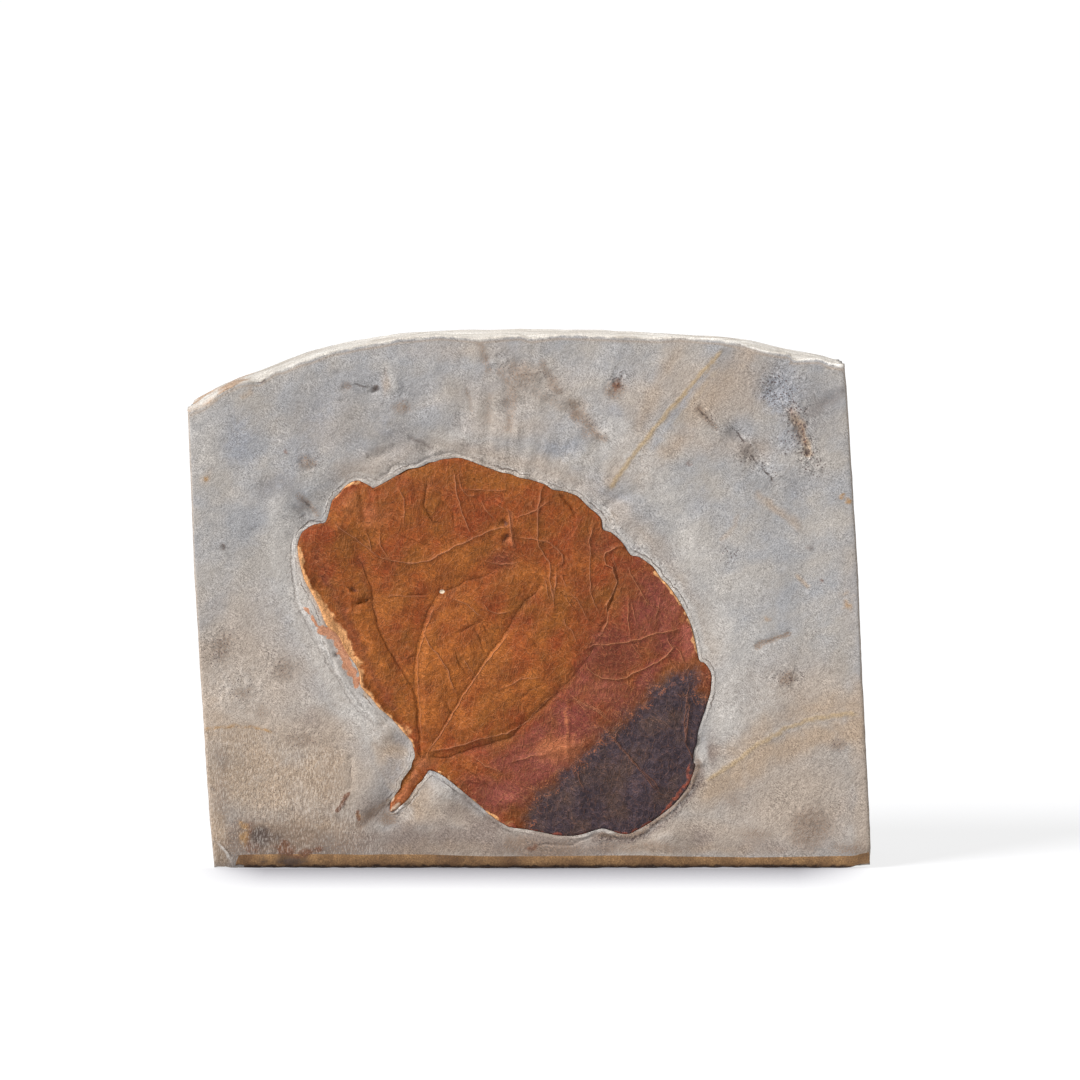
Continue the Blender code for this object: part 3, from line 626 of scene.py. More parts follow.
# Stains of the stone. Each kind has soft round places (a picture point, the radii across and up in
# millimetres and the strength) and bands (picture points, the width in millimetres and the strength).
STONE_STAINS = {
    "warm": (
        [((715, 390), 24, 14, 0.9), ((650, 400), 20, 14, 0.5), ((540, 380), 26, 9, 0.35),
         ((790, 790), 36, 28, 0.9), ((790, 690), 30, 16, 0.8), ((240, 700), 26, 44, 0.9),
         ((310, 735), 26, 12, 1.0), ((330, 780), 20, 24, 1.0), ((705, 795), 12, 14, 0.7),
         ((862, 790), 6, 24, 0.7), ((435, 815), 16, 9, 0.9), ((500, 425), 26, 8, 0.5),
         ((700, 835), 40, 10, 0.8), ((460, 845), 44, 9, 1.0), ((300, 800), 34, 18, 1.0),
         ((255, 680), 30, 24, 0.85), ((205, 620), 8, 20, 0.4), ((850, 600), 6, 40, 0.3),
         ((310, 430), 20, 14, 0.3), ((500, 395), 34, 12, 0.4), ((470, 350), 30, 5, 0.4),
         ((800, 470), 12, 10, 0.2), ((545, 846), 20, 6, 1.0), ((650, 840), 20, 8, 0.8),
         ((320, 610), 12, 20, 0.4)],
        [([(680, 345), (640, 420), (612, 478)], 7.0, 0.5), ([(300, 560), (310, 640), (345, 700)], 8.0, 0.6),
         ([(345, 476), (440, 448), (540, 470), (602, 496), (652, 545), (692, 600), (716, 660)], 9.0, 0.6),
         ([(376, 730), (400, 780), (440, 800), (480, 830)], 8.0, 1.0), ([(206, 650), (212, 850)], 8.0, 1.0),
         ([(860, 690), (866, 856)], 8.0, 1.0), ([(620, 470), (672, 440), (760, 450)], 8.0, 0.6)],
    ),
    "tan": (
        [((255, 775), 24, 17, 1.0), ((320, 775), 13, 16, 0.8), ((240, 735), 18, 5, 0.8),
         ((300, 830), 24, 8, 0.8), ((395, 752), 6, 4, 0.6), ((215, 720), 6, 14, 0.6),
         ((418, 806), 9, 9, 0.6), ((750, 375), 10, 7, 0.25), ((217, 836), 5, 12, 1.0),
         ((221, 860), 5, 4, 1.0), ((838, 815), 10, 14, 0.4), ((610, 520), 4, 4, 0.6),
         ((386, 384), 2, 5, 0.45), ((206, 477), 2.5, 2.5, 0.8), ((640, 440), 9, 10, 0.4),
         ((440, 850), 26, 4, 0.5), ((860, 740), 5, 8, 0.4), ((228, 690), 9, 9, 0.4),
         ((700, 850), 36, 3, 0.5)],
        [([(510, 362), (545, 378), (575, 402), (600, 432)], 5.0, 0.4), ([(676, 356), (612, 478)], 5.0, 0.4),
         ([(748, 350), (642, 480)], 8.0, 0.5), ([(735, 748), (775, 724), (815, 710), (862, 704)], 9.0, 0.7),
         ([(789, 408), (800, 430), (809, 452)], 2.6, 1.0),
         ([(715, 792), (770, 752), (815, 736), (866, 728)], 8.0, 0.9), ([(242, 397), (250, 390)], 1.6, 0.8),
         ([(759, 496), (799, 526)], 3.0, 0.6), ([(738, 518), (737, 528), (722, 539)], 1.6, 0.4),
         ([(799, 576), (810, 586)], 2.0, 0.6), ([(196, 410), (215, 398)], 1.6, 0.8)],
    ),
    "brown": (
        [((285, 838), 20, 6, 0.9), ((262, 846), 8, 6, 0.9), ((238, 848), 8, 8, 0.8),
         ((335, 850), 14, 4, 0.7), ((389, 818), 4, 3, 0.9), ((519, 844), 7, 3, 0.9),
         ((248, 835), 9, 7, 0.7), ((335, 842), 10, 4, 0.6), ((222, 800), 5, 12, 0.5),
         ((485, 360), 1.5, 2.5, 0.7), ((520, 377), 8, 7, 0.5), ((576, 416), 3, 2, 0.9),
         ((588, 432), 4, 4, 0.5), ((516, 366), 2, 4, 0.5), ((402, 408), 5, 3, 0.6),
         ((306, 463), 4.5, 3.5, 0.6), ((222, 648), 6, 7, 0.55), ((285, 670), 6, 6, 0.5),
         ((300, 740), 8, 3, 0.5), ((262, 712), 5, 4, 0.4), ((242, 695), 5, 4, 0.45),
         ((810, 828), 9, 9, 0.75), ((838, 745), 3.5, 3, 0.6), ((787, 677), 4, 3, 0.75),
         ((616, 388), 5, 4, 0.75), ((797, 430), 3, 8, 0.5), ((640, 848), 30, 3, 0.5),
         ((850, 850), 10, 4, 0.6), ((222, 762), 4, 8, 0.45), ((735, 802), 5, 4, 0.4),
         ((756, 836), 8, 4, 0.5), ((545, 850), 18, 3.5, 0.8), ((345, 388), 2.5, 2, 0.5)],
        [([(512, 372), (540, 394), (570, 410), (594, 436)], 3.6, 0.35), ([(478, 346), (490, 372)], 2.6, 0.5),
         ([(502, 372), (512, 392), (508, 428)], 3.2, 0.5), ([(540, 362), (556, 392)], 2.6, 0.55),
         ([(572, 402), (600, 438)], 3.2, 0.6),
         ([(600, 838), (636, 834), (668, 814), (692, 782), (699, 762)], 1.6, 0.8),
         ([(468, 387), (471, 411)], 1.8, 0.4), ([(507, 386), (508, 425)], 3.0, 0.45),
         ([(488, 398), (489, 425)], 2.4, 0.35), ([(757, 646), (789, 633)], 1.6, 0.8),
         ([(357, 822), (392, 800)], 3.0, 0.7), ([(300, 498), (318, 518)], 2.4, 0.5),
         ([(700, 408), (716, 428)], 2.0, 0.6)],
    ),
    "blue": (
        [((238, 440), 9, 12, 0.8), ((615, 412), 3.5, 4, 0.6), ((560, 450), 9, 4, 0.7),
         ((862, 640), 5, 34, 0.3), ((393, 770), 5, 6, 0.5), ((385, 425), 6, 8, 0.4),
         ((780, 393), 9, 10, 1.0), ((788, 440), 5, 7, 0.6), ((290, 620), 5, 10, 0.4),
         ((760, 600), 12, 10, 0.4), ((210, 420), 8, 6, 0.4), ((700, 500), 6, 6, 0.4),
         ((795, 495), 5, 5, 0.4)],
        [([(704, 377), (650, 446)], 2.6, 0.55), ([(604, 492), (633, 500)], 4.0, 0.4),
         ([(260, 520), (330, 400)], 8.0, 0.4)],
    ),
    "pale": (
        [((445, 792), 7, 6, 0.6), ((748, 593), 9, 10, 0.8), ((746, 645), 9, 10, 0.8),
         ((664, 434), 5, 7, 0.5), ((548, 374), 5, 4, 0.6), ((450, 438), 10, 3, 0.5),
         ((703, 755), 2, 5, 1.0), ((392, 384), 2, 5, 0.7), ((665, 838), 7, 3, 0.4), ((408, 814), 3, 3, 0.6),
         ((205, 435), 9, 18, 0.8), ((760, 690), 12, 16, 0.5), ((235, 690), 16, 16, 0.5),
         ((208, 545), 6, 18, 0.4)],
        [([(610, 430), (650, 470), (684, 530), (716, 600), (732, 670), (726, 730)], 11.0, 0.7),
         ([(278, 510), (290, 580), (318, 640), (346, 696), (372, 730)], 9.0, 0.9),
         ([(298, 590), (345, 682), (366, 712)], 3.0, 1.0),
         ([(645, 553), (672, 585), (692, 612), (703, 650)], 3.6, 1.0), ([(598, 506), (628, 543)], 3.0, 0.8),
         ([(330, 490), (372, 476), (440, 450), (540, 472), (600, 500), (650, 550)], 2.6, 0.35)],
    ),
    # Darker towards the bottom and beside the leaf's lower right
    "shade": (
        [((420, 842), 46, 9, 0.9), ((535, 848), 30, 6, 1.0), ((290, 842), 34, 11, 1.0),
         ((272, 842), 12, 6, 1.0), ((760, 848), 24, 4, 0.5), ((330, 780), 5, 14, 0.5),
         ((695, 840), 12, 5, 0.5), ((375, 815), 10, 8, 0.7), ((605, 848), 10, 5, 0.8),
         ((714, 748), 3, 8, 0.9), ((403, 740), 5, 5, 0.5), ((519, 843), 9, 4, 1.0), ((488, 827), 9, 6, 0.9),
         ((312, 719), 8, 5, 0.5), ((465, 807), 9, 8, 0.8)],
        [([(404, 800), (416, 830)], 4.0, 0.4),
         ([(594, 838), (622, 840), (648, 832), (674, 813), (696, 784), (701, 758)], 3.4, 1.0)],
    ),
    "dim": (
        [((350, 415), 24, 20, 0.45), ((372, 385), 10, 10, 0.3), ((816, 412), 11, 13, 0.7),
         ((520, 385), 26, 12, 0.2), ((396, 436), 10, 8, 0.75), ((276, 487), 8, 7, 0.9)],
        [],
    ),
    "ochre": (
        [((848, 602), 4, 5, 0.45), ((243, 831), 2, 4.5, 0.7), ((368, 696), 1.5, 2, 0.9),
         ((380, 708), 1, 1, 0.7), ((769, 618), 3, 2, 0.4), ((207, 477), 1.5, 1.5, 0.7),
         ((842, 496), 1.5, 1.5, 0.9), ((849, 503), 1.5, 1.5, 0.8), ((356, 815), 1.5, 1.5, 0.9),
         ((284, 849), 3, 2, 0.7), ((244, 838), 2.5, 5, 0.8)],
        [([(205, 730), (240, 727), (274, 731)], 1.4, 0.6)],
    ),
    "rust": (
        [((617, 383), 2.5, 3, 0.8), ((573, 412), 2, 1.5, 0.5), ((690, 463), 1.5, 1.5, 0.7),
         ((230, 489), 1.5, 2, 0.5), ((284, 451), 1.5, 1.5, 0.5), ((285, 849), 4.5, 3.5, 1.0),
         ((296, 853), 7, 1.5, 0.9), ((253, 850), 5, 4, 0.6), ((250, 834), 3, 7, 0.5),
         ((832, 572), 1.5, 1.5, 0.5), ((822, 584), 1.5, 1.5, 0.5), ((533, 847), 2.5, 1.5, 0.6),
         ((810, 550), 2.5, 2.5, 0.4), ((302, 850), 3, 1.5, 0.6)],
        [([(789, 408), (800, 430), (809, 454)], 1.4, 0.5), ([(298, 855), (307, 854), (317, 851)], 2.0, 1.0),
         ([(349, 793), (337, 811)], 1.3, 1.0), ([(356, 811), (356, 818)], 1.3, 1.0)],
    ),
    # Dark specks of the stone, with painted shade in its pits and hollows
    "dark_specks_and_hollow_shade": (
        [((289, 862), 7, 2.5, 1.0), ((262, 860), 2, 2.5, 0.7), ((306, 861), 2, 2, 0.6),
         ((262, 838), 4.5, 4.5, 1.0), ((277, 838), 3, 3, 0.6), ((375, 391), 2, 1.5, 0.9),
         ((260, 381), 2, 1, 1.0), ((338, 372), 1.5, 1.5, 0.4), ((346, 388), 1.5, 1.5, 0.5),
         ((810, 550), 1.5, 1.5, 0.6), ((221, 546), 1.5, 1.5, 0.7), ((213, 789), 1.5, 1.5, 0.7),
         ((808, 452), 1.5, 1, 1.0), ((334, 656), 1, 1, 0.9), ((747, 452), 5.5, 6, 0.45),
         ((734, 437), 3, 3, 0.4), ((375, 451), 5, 2, 0.4), ((303, 508), 4.5, 3.5, 0.4),
         ((620, 386), 2, 1.5, 0.5)],
        [([(810, 412), (828, 400), (846, 392)], 5.0, 0.4), ([(360, 822), (392, 802)], 1.6, 0.4),
         ([(412, 437), (427, 450)], 1.4, 0.5), ([(322, 632), (332, 655), (350, 684)], 1.4, 0.4)],
    ),
    "specks": (
        [((778, 388), 10, 9, 1.0), ((812, 470), 6, 4, 0.9), ((748, 458), 6, 8, 0.8),
         ((785, 445), 6, 7, 0.7), ((617, 382), 5, 5, 1.0), ((730, 555), 6, 5, 0.8), ((785, 676), 7, 5, 0.8),
         ((218, 645), 8, 9, 0.8), ((277, 667), 7, 7, 0.7), ((812, 458), 6, 6, 0.8), ((533, 847), 5, 3, 0.6),
         ((540, 380), 16, 10, 0.45), ((811, 632), 4, 4, 0.5), ((240, 690), 12, 8, 0.6),
         ((310, 465), 9, 7, 0.5), ((400, 400), 9, 7, 0.4), ((838, 745), 5, 4, 0.7),
         ((300, 740), 16, 8, 0.5), ((270, 800), 20, 16, 0.4), ((810, 820), 14, 12, 0.4)],
        [([(786, 400), (800, 430), (812, 462)], 7.0, 1.0), ([(500, 362), (545, 378), (600, 432)], 7.0, 0.5),
         ([(700, 404), (722, 430)], 4.0, 0.6), ([(735, 432), (778, 482)], 5.0, 0.6),
         ([(430, 455), (540, 476), (600, 506), (660, 570), (700, 640)], 3.5, 0.45),
         ([(600, 840), (640, 836), (674, 814), (698, 780)], 3.0, 1.0)],
    ),
    "red_film": (
        [],
        [([(324, 630), (333, 637), (351, 672)], 3.3, 1.0), ([(350, 670), (357, 685)], 1.7, 1.0),
         ([(305, 608), (325, 631)], 0.7, 0.75)],
    ),
}

# Where the lower left is combed upright: the edge of it
COMBED_EDGE_PX = [(150, 722), (260, 726), (345, 752), (352, 800), (420, 880)]
COMBED_BLEND = 6.0 * MM
RUSTED_TOP_PX = (262, 380)
RUSTED_BLEND = 7.0 * MM
FOOT_STRIP_START_PX = (239, 860)
FOOT_STRIP_BLEND = 2.5 * MM
FOOT_STRIP_RAGGED = 2.2 * MM
FOOT_STRIP_RAG_LENGTH = 2.0 * MM
END_CRUST, BACK_CRUST, EDGE_CRUST = 0.15, 0.8, 0.75
EDGE_CRUST_REACH = 2.6 * MM

# Narrow lines on the stone: picture points, strength
STONE_CRACKS = [
    ([(350, 384), (362, 386), (374, 390)], 0.7), ([(697, 406), (705, 414), (713, 426)], 0.9),
    ([(734, 428), (748, 448)], 1.0), ([(746, 446), (762, 470)], 0.75), ([(758, 466), (779, 486)], 1.0),
    ([(787, 412), (797, 431), (807, 453)], 0.7), ([(801, 431), (789, 430)], 0.7),
    ([(802, 414), (809, 405)], 0.7), ([(806, 440), (815, 432)], 0.7), ([(808, 436), (812, 445)], 0.6),
    ([(806, 452), (795, 456)], 0.8), ([(788, 412), (776, 418)], 0.7), ([(804, 424), (812, 420)], 0.6),
    ([(762, 470), (764, 462)], 0.6), ([(770, 477), (774, 469)], 0.6), ([(352, 757), (351, 790)], 0.5),
    ([(445, 782), (500, 828), (520, 838)], 0.4), ([(216, 836), (231, 856), (238, 868)], 0.6),
    ([(301, 500), (314, 513)], 0.8), ([(412, 438), (427, 451)], 0.5), ([(384, 366), (386, 378)], 0.7),
    ([(757, 646), (790, 633)], 0.4), ([(780, 404), (794, 412)], 0.6), ([(800, 430), (812, 424)], 0.5),
    ([(803, 440), (795, 448)], 0.5), ([(349, 793), (344, 805), (337, 811)], 0.7),
    ([(612, 374), (616, 388)], 0.5), ([(484, 352), (487, 366)], 0.4), ([(301, 462), (310, 470)], 0.5),
    ([(297, 520), (308, 514)], 0.6), ([(306, 606), (316, 618), (322, 630)], 0.5),
    ([(316, 632), (326, 648), (334, 666), (357, 700), (372, 718)], 0.5),
    ([(295, 531), (290, 552), (294, 600), (307, 624), (319, 650), (336, 678), (356, 708), (380, 731)], 0.5),
    ([(372, 460), (390, 452)], 0.4), ([(541, 374), (556, 392)], 0.4), ([(572, 404), (580, 418)], 0.4),
]
OCHRE_LINES = [
    ([(701, 784), (716, 776), (733, 764), (757, 745), (786, 728), (815, 719), (839, 714), (864, 714)], 0.9),
    ([(728, 344), (701, 373), (636, 451), (606, 494)], 1.0), ([(724, 360), (700, 392), (668, 432)], 0.4),
]
LIGHT_LINES = [
    ([(297, 531), (293, 550), (294, 570), (297, 598), (310, 621), (322, 647), (339, 675), (359, 705),
      (383, 728)], 1.0),
    ([(214, 838), (228, 857), (234, 868)], 1.0), ([(393, 815), (409, 801)], 0.8),
    ([(333, 490), (345, 477), (358, 473), (374, 476)], 0.5), ([(700, 784), (668, 816), (640, 840)], 0.5),
    ([(738, 427), (768, 467), (783, 481)], 0.5),
]
# A stain's soft place fades out at this many of its radii
STAIN_FADE = 1.3
LINE_REACH = 2.5 * MM
LINE_TAPER = 4.0 * MM
FARTHEST = 9.0


def stain(points, places, bands):
    """Strength of a stain: the most that any place, a soft ellipse, or band gives a point."""
    total = np.zeros(len(points))
    for middle, across, up, strength in places:
        reach = np.hypot(*((points - on_plate(middle)) / (MM * np.array([across, up]))).T)
        total = np.maximum(total, strength * fade(reach, STAIN_FADE))
    for band, width, strength in bands:
        gap = np.abs(side_distance(points, on_plate(band)))
        total = np.maximum(total, strength * fade(gap, width * MM))
    return total


def line_marks(points, lines):
    """Signed distance in millimetres to the nearest of several lines, and how strongly it shows there.

    The strength tapers to 0 at both ends of a line and fades to 0 by LINE_REACH beside it, so that a
    material can draw the line thinner than the mesh's own spacing.
    """
    side, strongest = np.full(len(points), FARTHEST), np.zeros(len(points))
    nearest = np.full(len(points), np.inf)
    for line, strength in lines:
        placed = on_plate(line)
        gap = side_distance(points, placed)
        taper = min(LINE_TAPER, 0.4 * np.hypot(*(placed[-1] - placed[0])))
        near_ends = [smooth_step(distance_to(points, end) / taper) for end in (placed[0], placed[-1])]
        closer = np.abs(gap) < nearest
        nearest = np.where(closer, np.abs(gap), nearest)
        side = np.where(closer, gap / MM, side)
        shown = strength * near_ends[0] * near_ends[1] * fade(np.abs(gap), LINE_REACH)
        strongest = np.where(closer, shown, strongest)
    return np.clip(side, -FARTHEST, FARTHEST), strongest


marked = slice(face.start, face.stop + 3)
face_points = grid[marked][:, :, [0, 2]].reshape(-1, 2)
vertex_count = ring_count * STATIONS + 2


def face_mark(values, elsewhere=0.0):
    """A number for each vertex of the slab from those of the front, and one number on the rest."""
    whole = np.full(vertex_count, elsewhere)
    whole[marked.start * STATIONS:marked.stop * STATIONS] = values
    return whole


def ring_mark(values, at_back=0.0):
    """A number for each vertex of the slab from those of its rings, with 0 and at_back at the two poles."""
    return np.append(values.ravel(), [0.0, at_back])


# Stains wander off their places, and lines less but more jerkily
STAIN_WANDER_LENGTH, STAIN_WANDER = 4.0 * MM, 0.8 * MM
LINE_WANDER_LENGTH, LINE_WANDER = 1.3 * MM, 0.3 * MM
wandering = wander(face_points, STAIN_WANDER_LENGTH, 3, seed=61)
stained_points = face_points + STAIN_WANDER * wandering
slab_marks = {name: face_mark(stain(stained_points, *where)) for name, where in STONE_STAINS.items()}
drawn_points = face_points + LINE_WANDER * (wandering + wander(face_points, LINE_WANDER_LENGTH, 2, seed=63))
for name, lines in (("crack", STONE_CRACKS), ("ochre_line", OCHRE_LINES), ("light_line", LIGHT_LINES)):
    side, shown = line_marks(drawn_points, lines)
    slab_marks[name + "_side"], slab_marks[name + "_shown"] = face_mark(side), face_mark(shown)
from_leaf = np.abs(side_distance(face_points, MARGIN_CLOSED)) / MM
slab_marks["from_leaf"] = face_mark(from_leaf, elsewhere=99.0)
from_combed = side_distance(face_points, on_plate(COMBED_EDGE_PX))
slab_marks["combed"] = face_mark(1.0 - smooth_step(from_combed / COMBED_BLEND + 0.5))

# The crust: full on the top, most of it over the top's front edge and on the back, a little on the ends
crust = np.zeros((ring_count, STATIONS))
crust[face.stop:] = np.where(is_top, 1.0, END_CRUST)
crust[face.stop:face.stop + 4, is_base] = 0.0
crust[-len(BACK_SHARES) - 1:] = BACK_CRUST
below_top = top_height(grid[face, :, 0], 0.0) - grid[face, :, 2]
crust[face] = EDGE_CRUST * fade(below_top, EDGE_CRUST_REACH)
slab_marks["crust"] = ring_mark(crust, BACK_CRUST)

# The foot's strip, ragged at its left, and the rusty left part of the top
foot = np.zeros((ring_count, STATIONS))
foot[face.stop - 1:face.stop + 3, is_base] = 1.0
ragged = uneven(grid[..., [0, 2]].reshape(-1, 2), FOOT_STRIP_RAG_LENGTH, 2, seed=65).reshape(foot.shape)
from_strip_start = grid[..., 0] + FOOT_STRIP_RAGGED * ragged - on_plate(FOOT_STRIP_START_PX)[0]
slab_marks["foot"] = ring_mark(foot * smooth_step(from_strip_start / FOOT_STRIP_BLEND + 0.5))
rusted = smooth_step((on_plate(RUSTED_TOP_PX)[0] - grid[..., 0]) / RUSTED_BLEND) * is_top
slab_marks["rusted"] = ring_mark(rusted)


def srgb(hex_colour):
    """An sRGB hex colour as linear red, green, blue and an alpha of 1."""
    parts = [int(hex_colour[i:i + 2], 16) / 255.0 for i in (1, 3, 5)]
    linear = [part / 12.92 if part <= 0.04045 else ((part + 0.055) / 1.055) ** 2.4 for part in parts]
    return (*linear, 1.0)


def node(tree, kind, inputs=(), out=0, **settings):
    """Adds a node with its settings, sets or links its inputs, and returns one of its outputs."""
    made = tree.nodes.new("ShaderNode" + kind)
    for name, value in settings.items():
        setattr(made, name, value)
    for name, value in dict(inputs).items():
        if isinstance(value, bpy.types.NodeSocket):
            tree.links.new(value, made.inputs[name])
        else:
            made.inputs[name].default_value = value
    return made.outputs[out]


def new_finish(name):
    """A new node material, its tree and its shader."""
    finish = bpy.data.materials.new(name)
    finish.use_nodes = True
    return finish, finish.node_tree, finish.node_tree.nodes["Principled BSDF"]


def patterned(tree, patterns, marks, bend_length, bend):
    """The place in mm, that place bent by soft noise, the patterns laid over it, and the mesh's marks."""
    place = node(tree, "TexCoord", out="Object")
    place = node(tree, "VectorMath", {0: place, "Scale": 1.0 / MM}, operation="SCALE")
    bent = node(tree, "TexNoise", {"Vector": place, "Scale": 1.0 / bend_length, "Detail": 2.0}, out="Color")
    bent = node(tree, "VectorMath", {0: bent, 1: (bend, bend, bend), 2: place}, operation="MULTIPLY_ADD")
    laid = {}
    for name, (long, through, across, turn, detail, low, high) in patterns.items():
        turned_by = (0.0, -math.radians(turn), 0.0)
        stretch = {"Vector": bent, "Rotation": turned_by, "Scale": (long, through, across)}
        stretched = node(tree, "Mapping", stretch, vector_type="TEXTURE")
        noise = node(tree, "TexNoise", {"Vector": stretched, "Scale": 1.0, "Detail": detail})
        laid[name] = node(tree, "MapRange", {0: noise, 1: low, 2: high})
    read = {name: node(tree, "Attribute", out="Fac", attribute_name=name) for name in marks}
    return place, bent, laid, read


def scratched(tree, pattern):
    """Strokes that run one way or the other in patches."""
    crossed = node(tree, "MapRange", {0: pattern["blotches"], 1: 0.3, 2: 0.7})
    return node(tree, "Mix", {0: crossed, 2: pattern["strokes"], 3: pattern["cross_strokes"]})


def stained(tree, colour, stains, mark, pattern):
    """The colour with each stain laid over it in turn, where its mark shows, broken up by its pattern."""
    for name, hex_colour, strength, breaks, amount, begins, full in stains:
        spread = node(tree, "MapRange", {0: pattern[breaks], 3: 1.0 - amount, 4: 1.0 + amount})
        spread = node(tree, "Math", {0: mark[name], 1: spread}, operation="MULTIPLY")
        limits = {0: spread, 1: begins, 2: full, 4: strength}
        spread = node(tree, "MapRange", limits, interpolation_type="SMOOTHSTEP")
        colour = node(tree, "Mix", {0: spread, 6: colour, 7: srgb(hex_colour)}, 2, data_type="RGBA")
    return colour


def light_and_dark(tree, shades):
    """The product of shades, each from 1 less its amount to 1 and its amount, as far as it shows there."""
    tone = 1.0
    for shade, amount, where in shades:
        shade = node(tree, "MapRange", {0: shade, 3: -amount, 4: amount})
        shade = node(tree, "Math", {0: shade, 1: where, 2: 1.0}, operation="MULTIPLY_ADD")
        tone = node(tree, "Math", {0: tone, 1: shade}, operation="MULTIPLY")
    return tone


def drawn_line(tree, side, width, strength):
    """How strongly a line shows: full on its middle and 0 from its width on, in mm beside it."""
    beside = node(tree, "Math", {0: side}, operation="ABSOLUTE")
    limits = {0: beside, 1: width, 2: 0.1 * width, 4: strength}
    return node(tree, "MapRange", limits, interpolation_type="SMOOTHSTEP")


def fine_relief(tree, shader, rises):
    """Bumps the surface by the sum of the shades, each times its height in mm."""
    height = 0.0
    for shade, rise in rises:
        height = node(tree, "Math", {0: shade, 1: rise, 2: height}, operation="MULTIPLY_ADD")
    bump = node(tree, "Bump", {"Height": height, "Distance": MM, "Strength": 1.0})
    tree.links.new(bump, shader.inputs["Normal"])


# Siltstone: dull and fine. The eye gets a pale blue-grey that is tan in bands and lower down, short light
# scratches of the scraping needle, a sandy speckle, and rust where iron came in along cracks. Patterns,
# in mm: the length along, through and across them, the turn of their length above the horizontal, the
# detail, and the noise that counts as 0 and as 1.
# The silt's own grains are 0.02 to 0.06 mm; they are drawn 0.36 mm wide, so that they show.
STONE_PATTERNS = {
    "clouds": (26.0, 26.0, 26.0, 0.0, 2.0, 0.35, 0.65),
    "hues": (12.0, 12.0, 9.0, 30.0, 4.0, 0.36, 0.64),
    "blotches": (8.0, 8.0, 8.0, 0.0, 3.0, 0.33, 0.67),
    "mottles": (2.2, 2.2, 2.2, 0.0, 3.0, 0.32, 0.68),
    "grains": (0.36, 0.36, 0.36, 0.0, 2.0, 0.3, 0.7),
    "strokes": (1.1, 1.1, 0.34, 48.0, 3.0, 0.36, 0.64),
    "cross_strokes": (1.0, 1.0, 0.34, -38.0, 3.0, 0.36, 0.64),
    "combing": (1.2, 1.2, 0.34, 84.0, 3.0, 0.36, 0.64),
    "bedding": (30.0, 1.5, 30.0, 0.0, 3.0, 0.33, 0.67),
}
siltstone, tree, shader = new_finish("siltstone, split and scraped")
place, bent, pattern, mark = patterned(tree, STONE_PATTERNS, slab_marks, bend_length=5.0, bend=1.4)
# The scratches are upright where the stone is combed
strokes = node(tree, "Mix", {0: mark["combed"], 2: scratched(tree, pattern), 3: pattern["combing"]})

# The foot's khaki strip, blotched, with a dark line of painted contact shade where it stands
khakis = {0: pattern["blotches"], 6: srgb("#75573d"), 7: srgb("#a07c55")}
foot_colour = node(tree, "Mix", khakis, 2, data_type="RGBA")
foot_edge = node(tree, "MapRange", {0: mark["foot"], 1: 0.45, 2: 0.6})
above_floor = node(tree, "SeparateXYZ", {0: place}, out="Z")
above_floor = node(tree, "Math", {0: pattern["mottles"], 1: -0.7, 2: above_floor}, operation="MULTIPLY_ADD")
# Painted contact shade, darkest at the very base and gone about a millimetre up
contact_shade = node(tree, "MapRange", {0: above_floor, 1: 0.9, 2: 0.3, 4: 0.95})
foot_colour = node(tree, "Mix", {0: contact_shade, 6: foot_colour, 7: srgb("#3a2b24")}, 2, data_type="RGBA")

# Stains, from the widest to the smallest: mark, colour, strength, the pattern that breaks it up and by how
# much, and the mark's values where it begins and where it is full. The foot's own colour goes on between
# those that lie in the stone and those that cross it.
IN_STONE = [
    ("dim", "#797573", 1.0, "mottles", 0.25, 0.0, 1.0),
    ("warm", "#9f9184", 1.0, "clouds", 0.2, 0.0, 1.0),
    # Darker towards the bottom and beside the leaf's lower right
    ("shade", "#7d7068", 1.0, "blotches", 0.5, 0.0, 1.0),
    ("tan", "#9a8672", 0.85, "blotches", 0.35, 0.0, 1.0),
    ("blue", "#8a8b90", 1.0, "mottles", 0.3, 0.0, 1.0),
    ("pale", "#ada8a3", 0.75, "mottles", 0.25, 0.0, 1.0),
    ("brown", "#776557", 0.9, "grains", 0.9, 0.1, 0.85),
]
ON_STONE = [
    ("ochre", "#96754e", 0.9, "mottles", 0.5, 0.2, 0.8),
    ("rust", "#6a4836", 0.9, "mottles", 0.6, 0.2, 0.8),
    # Dark specks, and painted shade in the pits and hollows
    ("dark_specks_and_hollow_shade", "#4b3f3a", 0.9, "grains", 0.5, 0.15, 0.85),
    ("red_film", "#ad7758", 0.95, "mottles", 0.6, 0.3, 0.6),
]
grey_to_tan = {0: pattern["hues"], 6: srgb("#908f90"), 7: srgb("#9a948e")}
colour = node(tree, "Mix", grey_to_tan, 2, data_type="RGBA")
colour = stained(tree, colour, IN_STONE, mark, pattern)
colour = node(tree, "Mix", {0: foot_edge, 6: colour, 7: foot_colour}, 2, data_type="RGBA")
colour = stained(tree, colour, ON_STONE, mark, pattern)

# The ends show the layers edge on, under dust
layered = node(tree, "MapRange", {0: mark["crust"], 1: 0.0, 2: 0.15})
dust = node(tree, "MapRange", {0: mark["crust"], 1: 0.4, 2: 0.15})
dust = node(tree, "Math", {0: dust, 1: layered}, operation="MULTIPLY")
dust = node(tree, "Math", {0: dust, 1: 0.7}, operation="MULTIPLY")

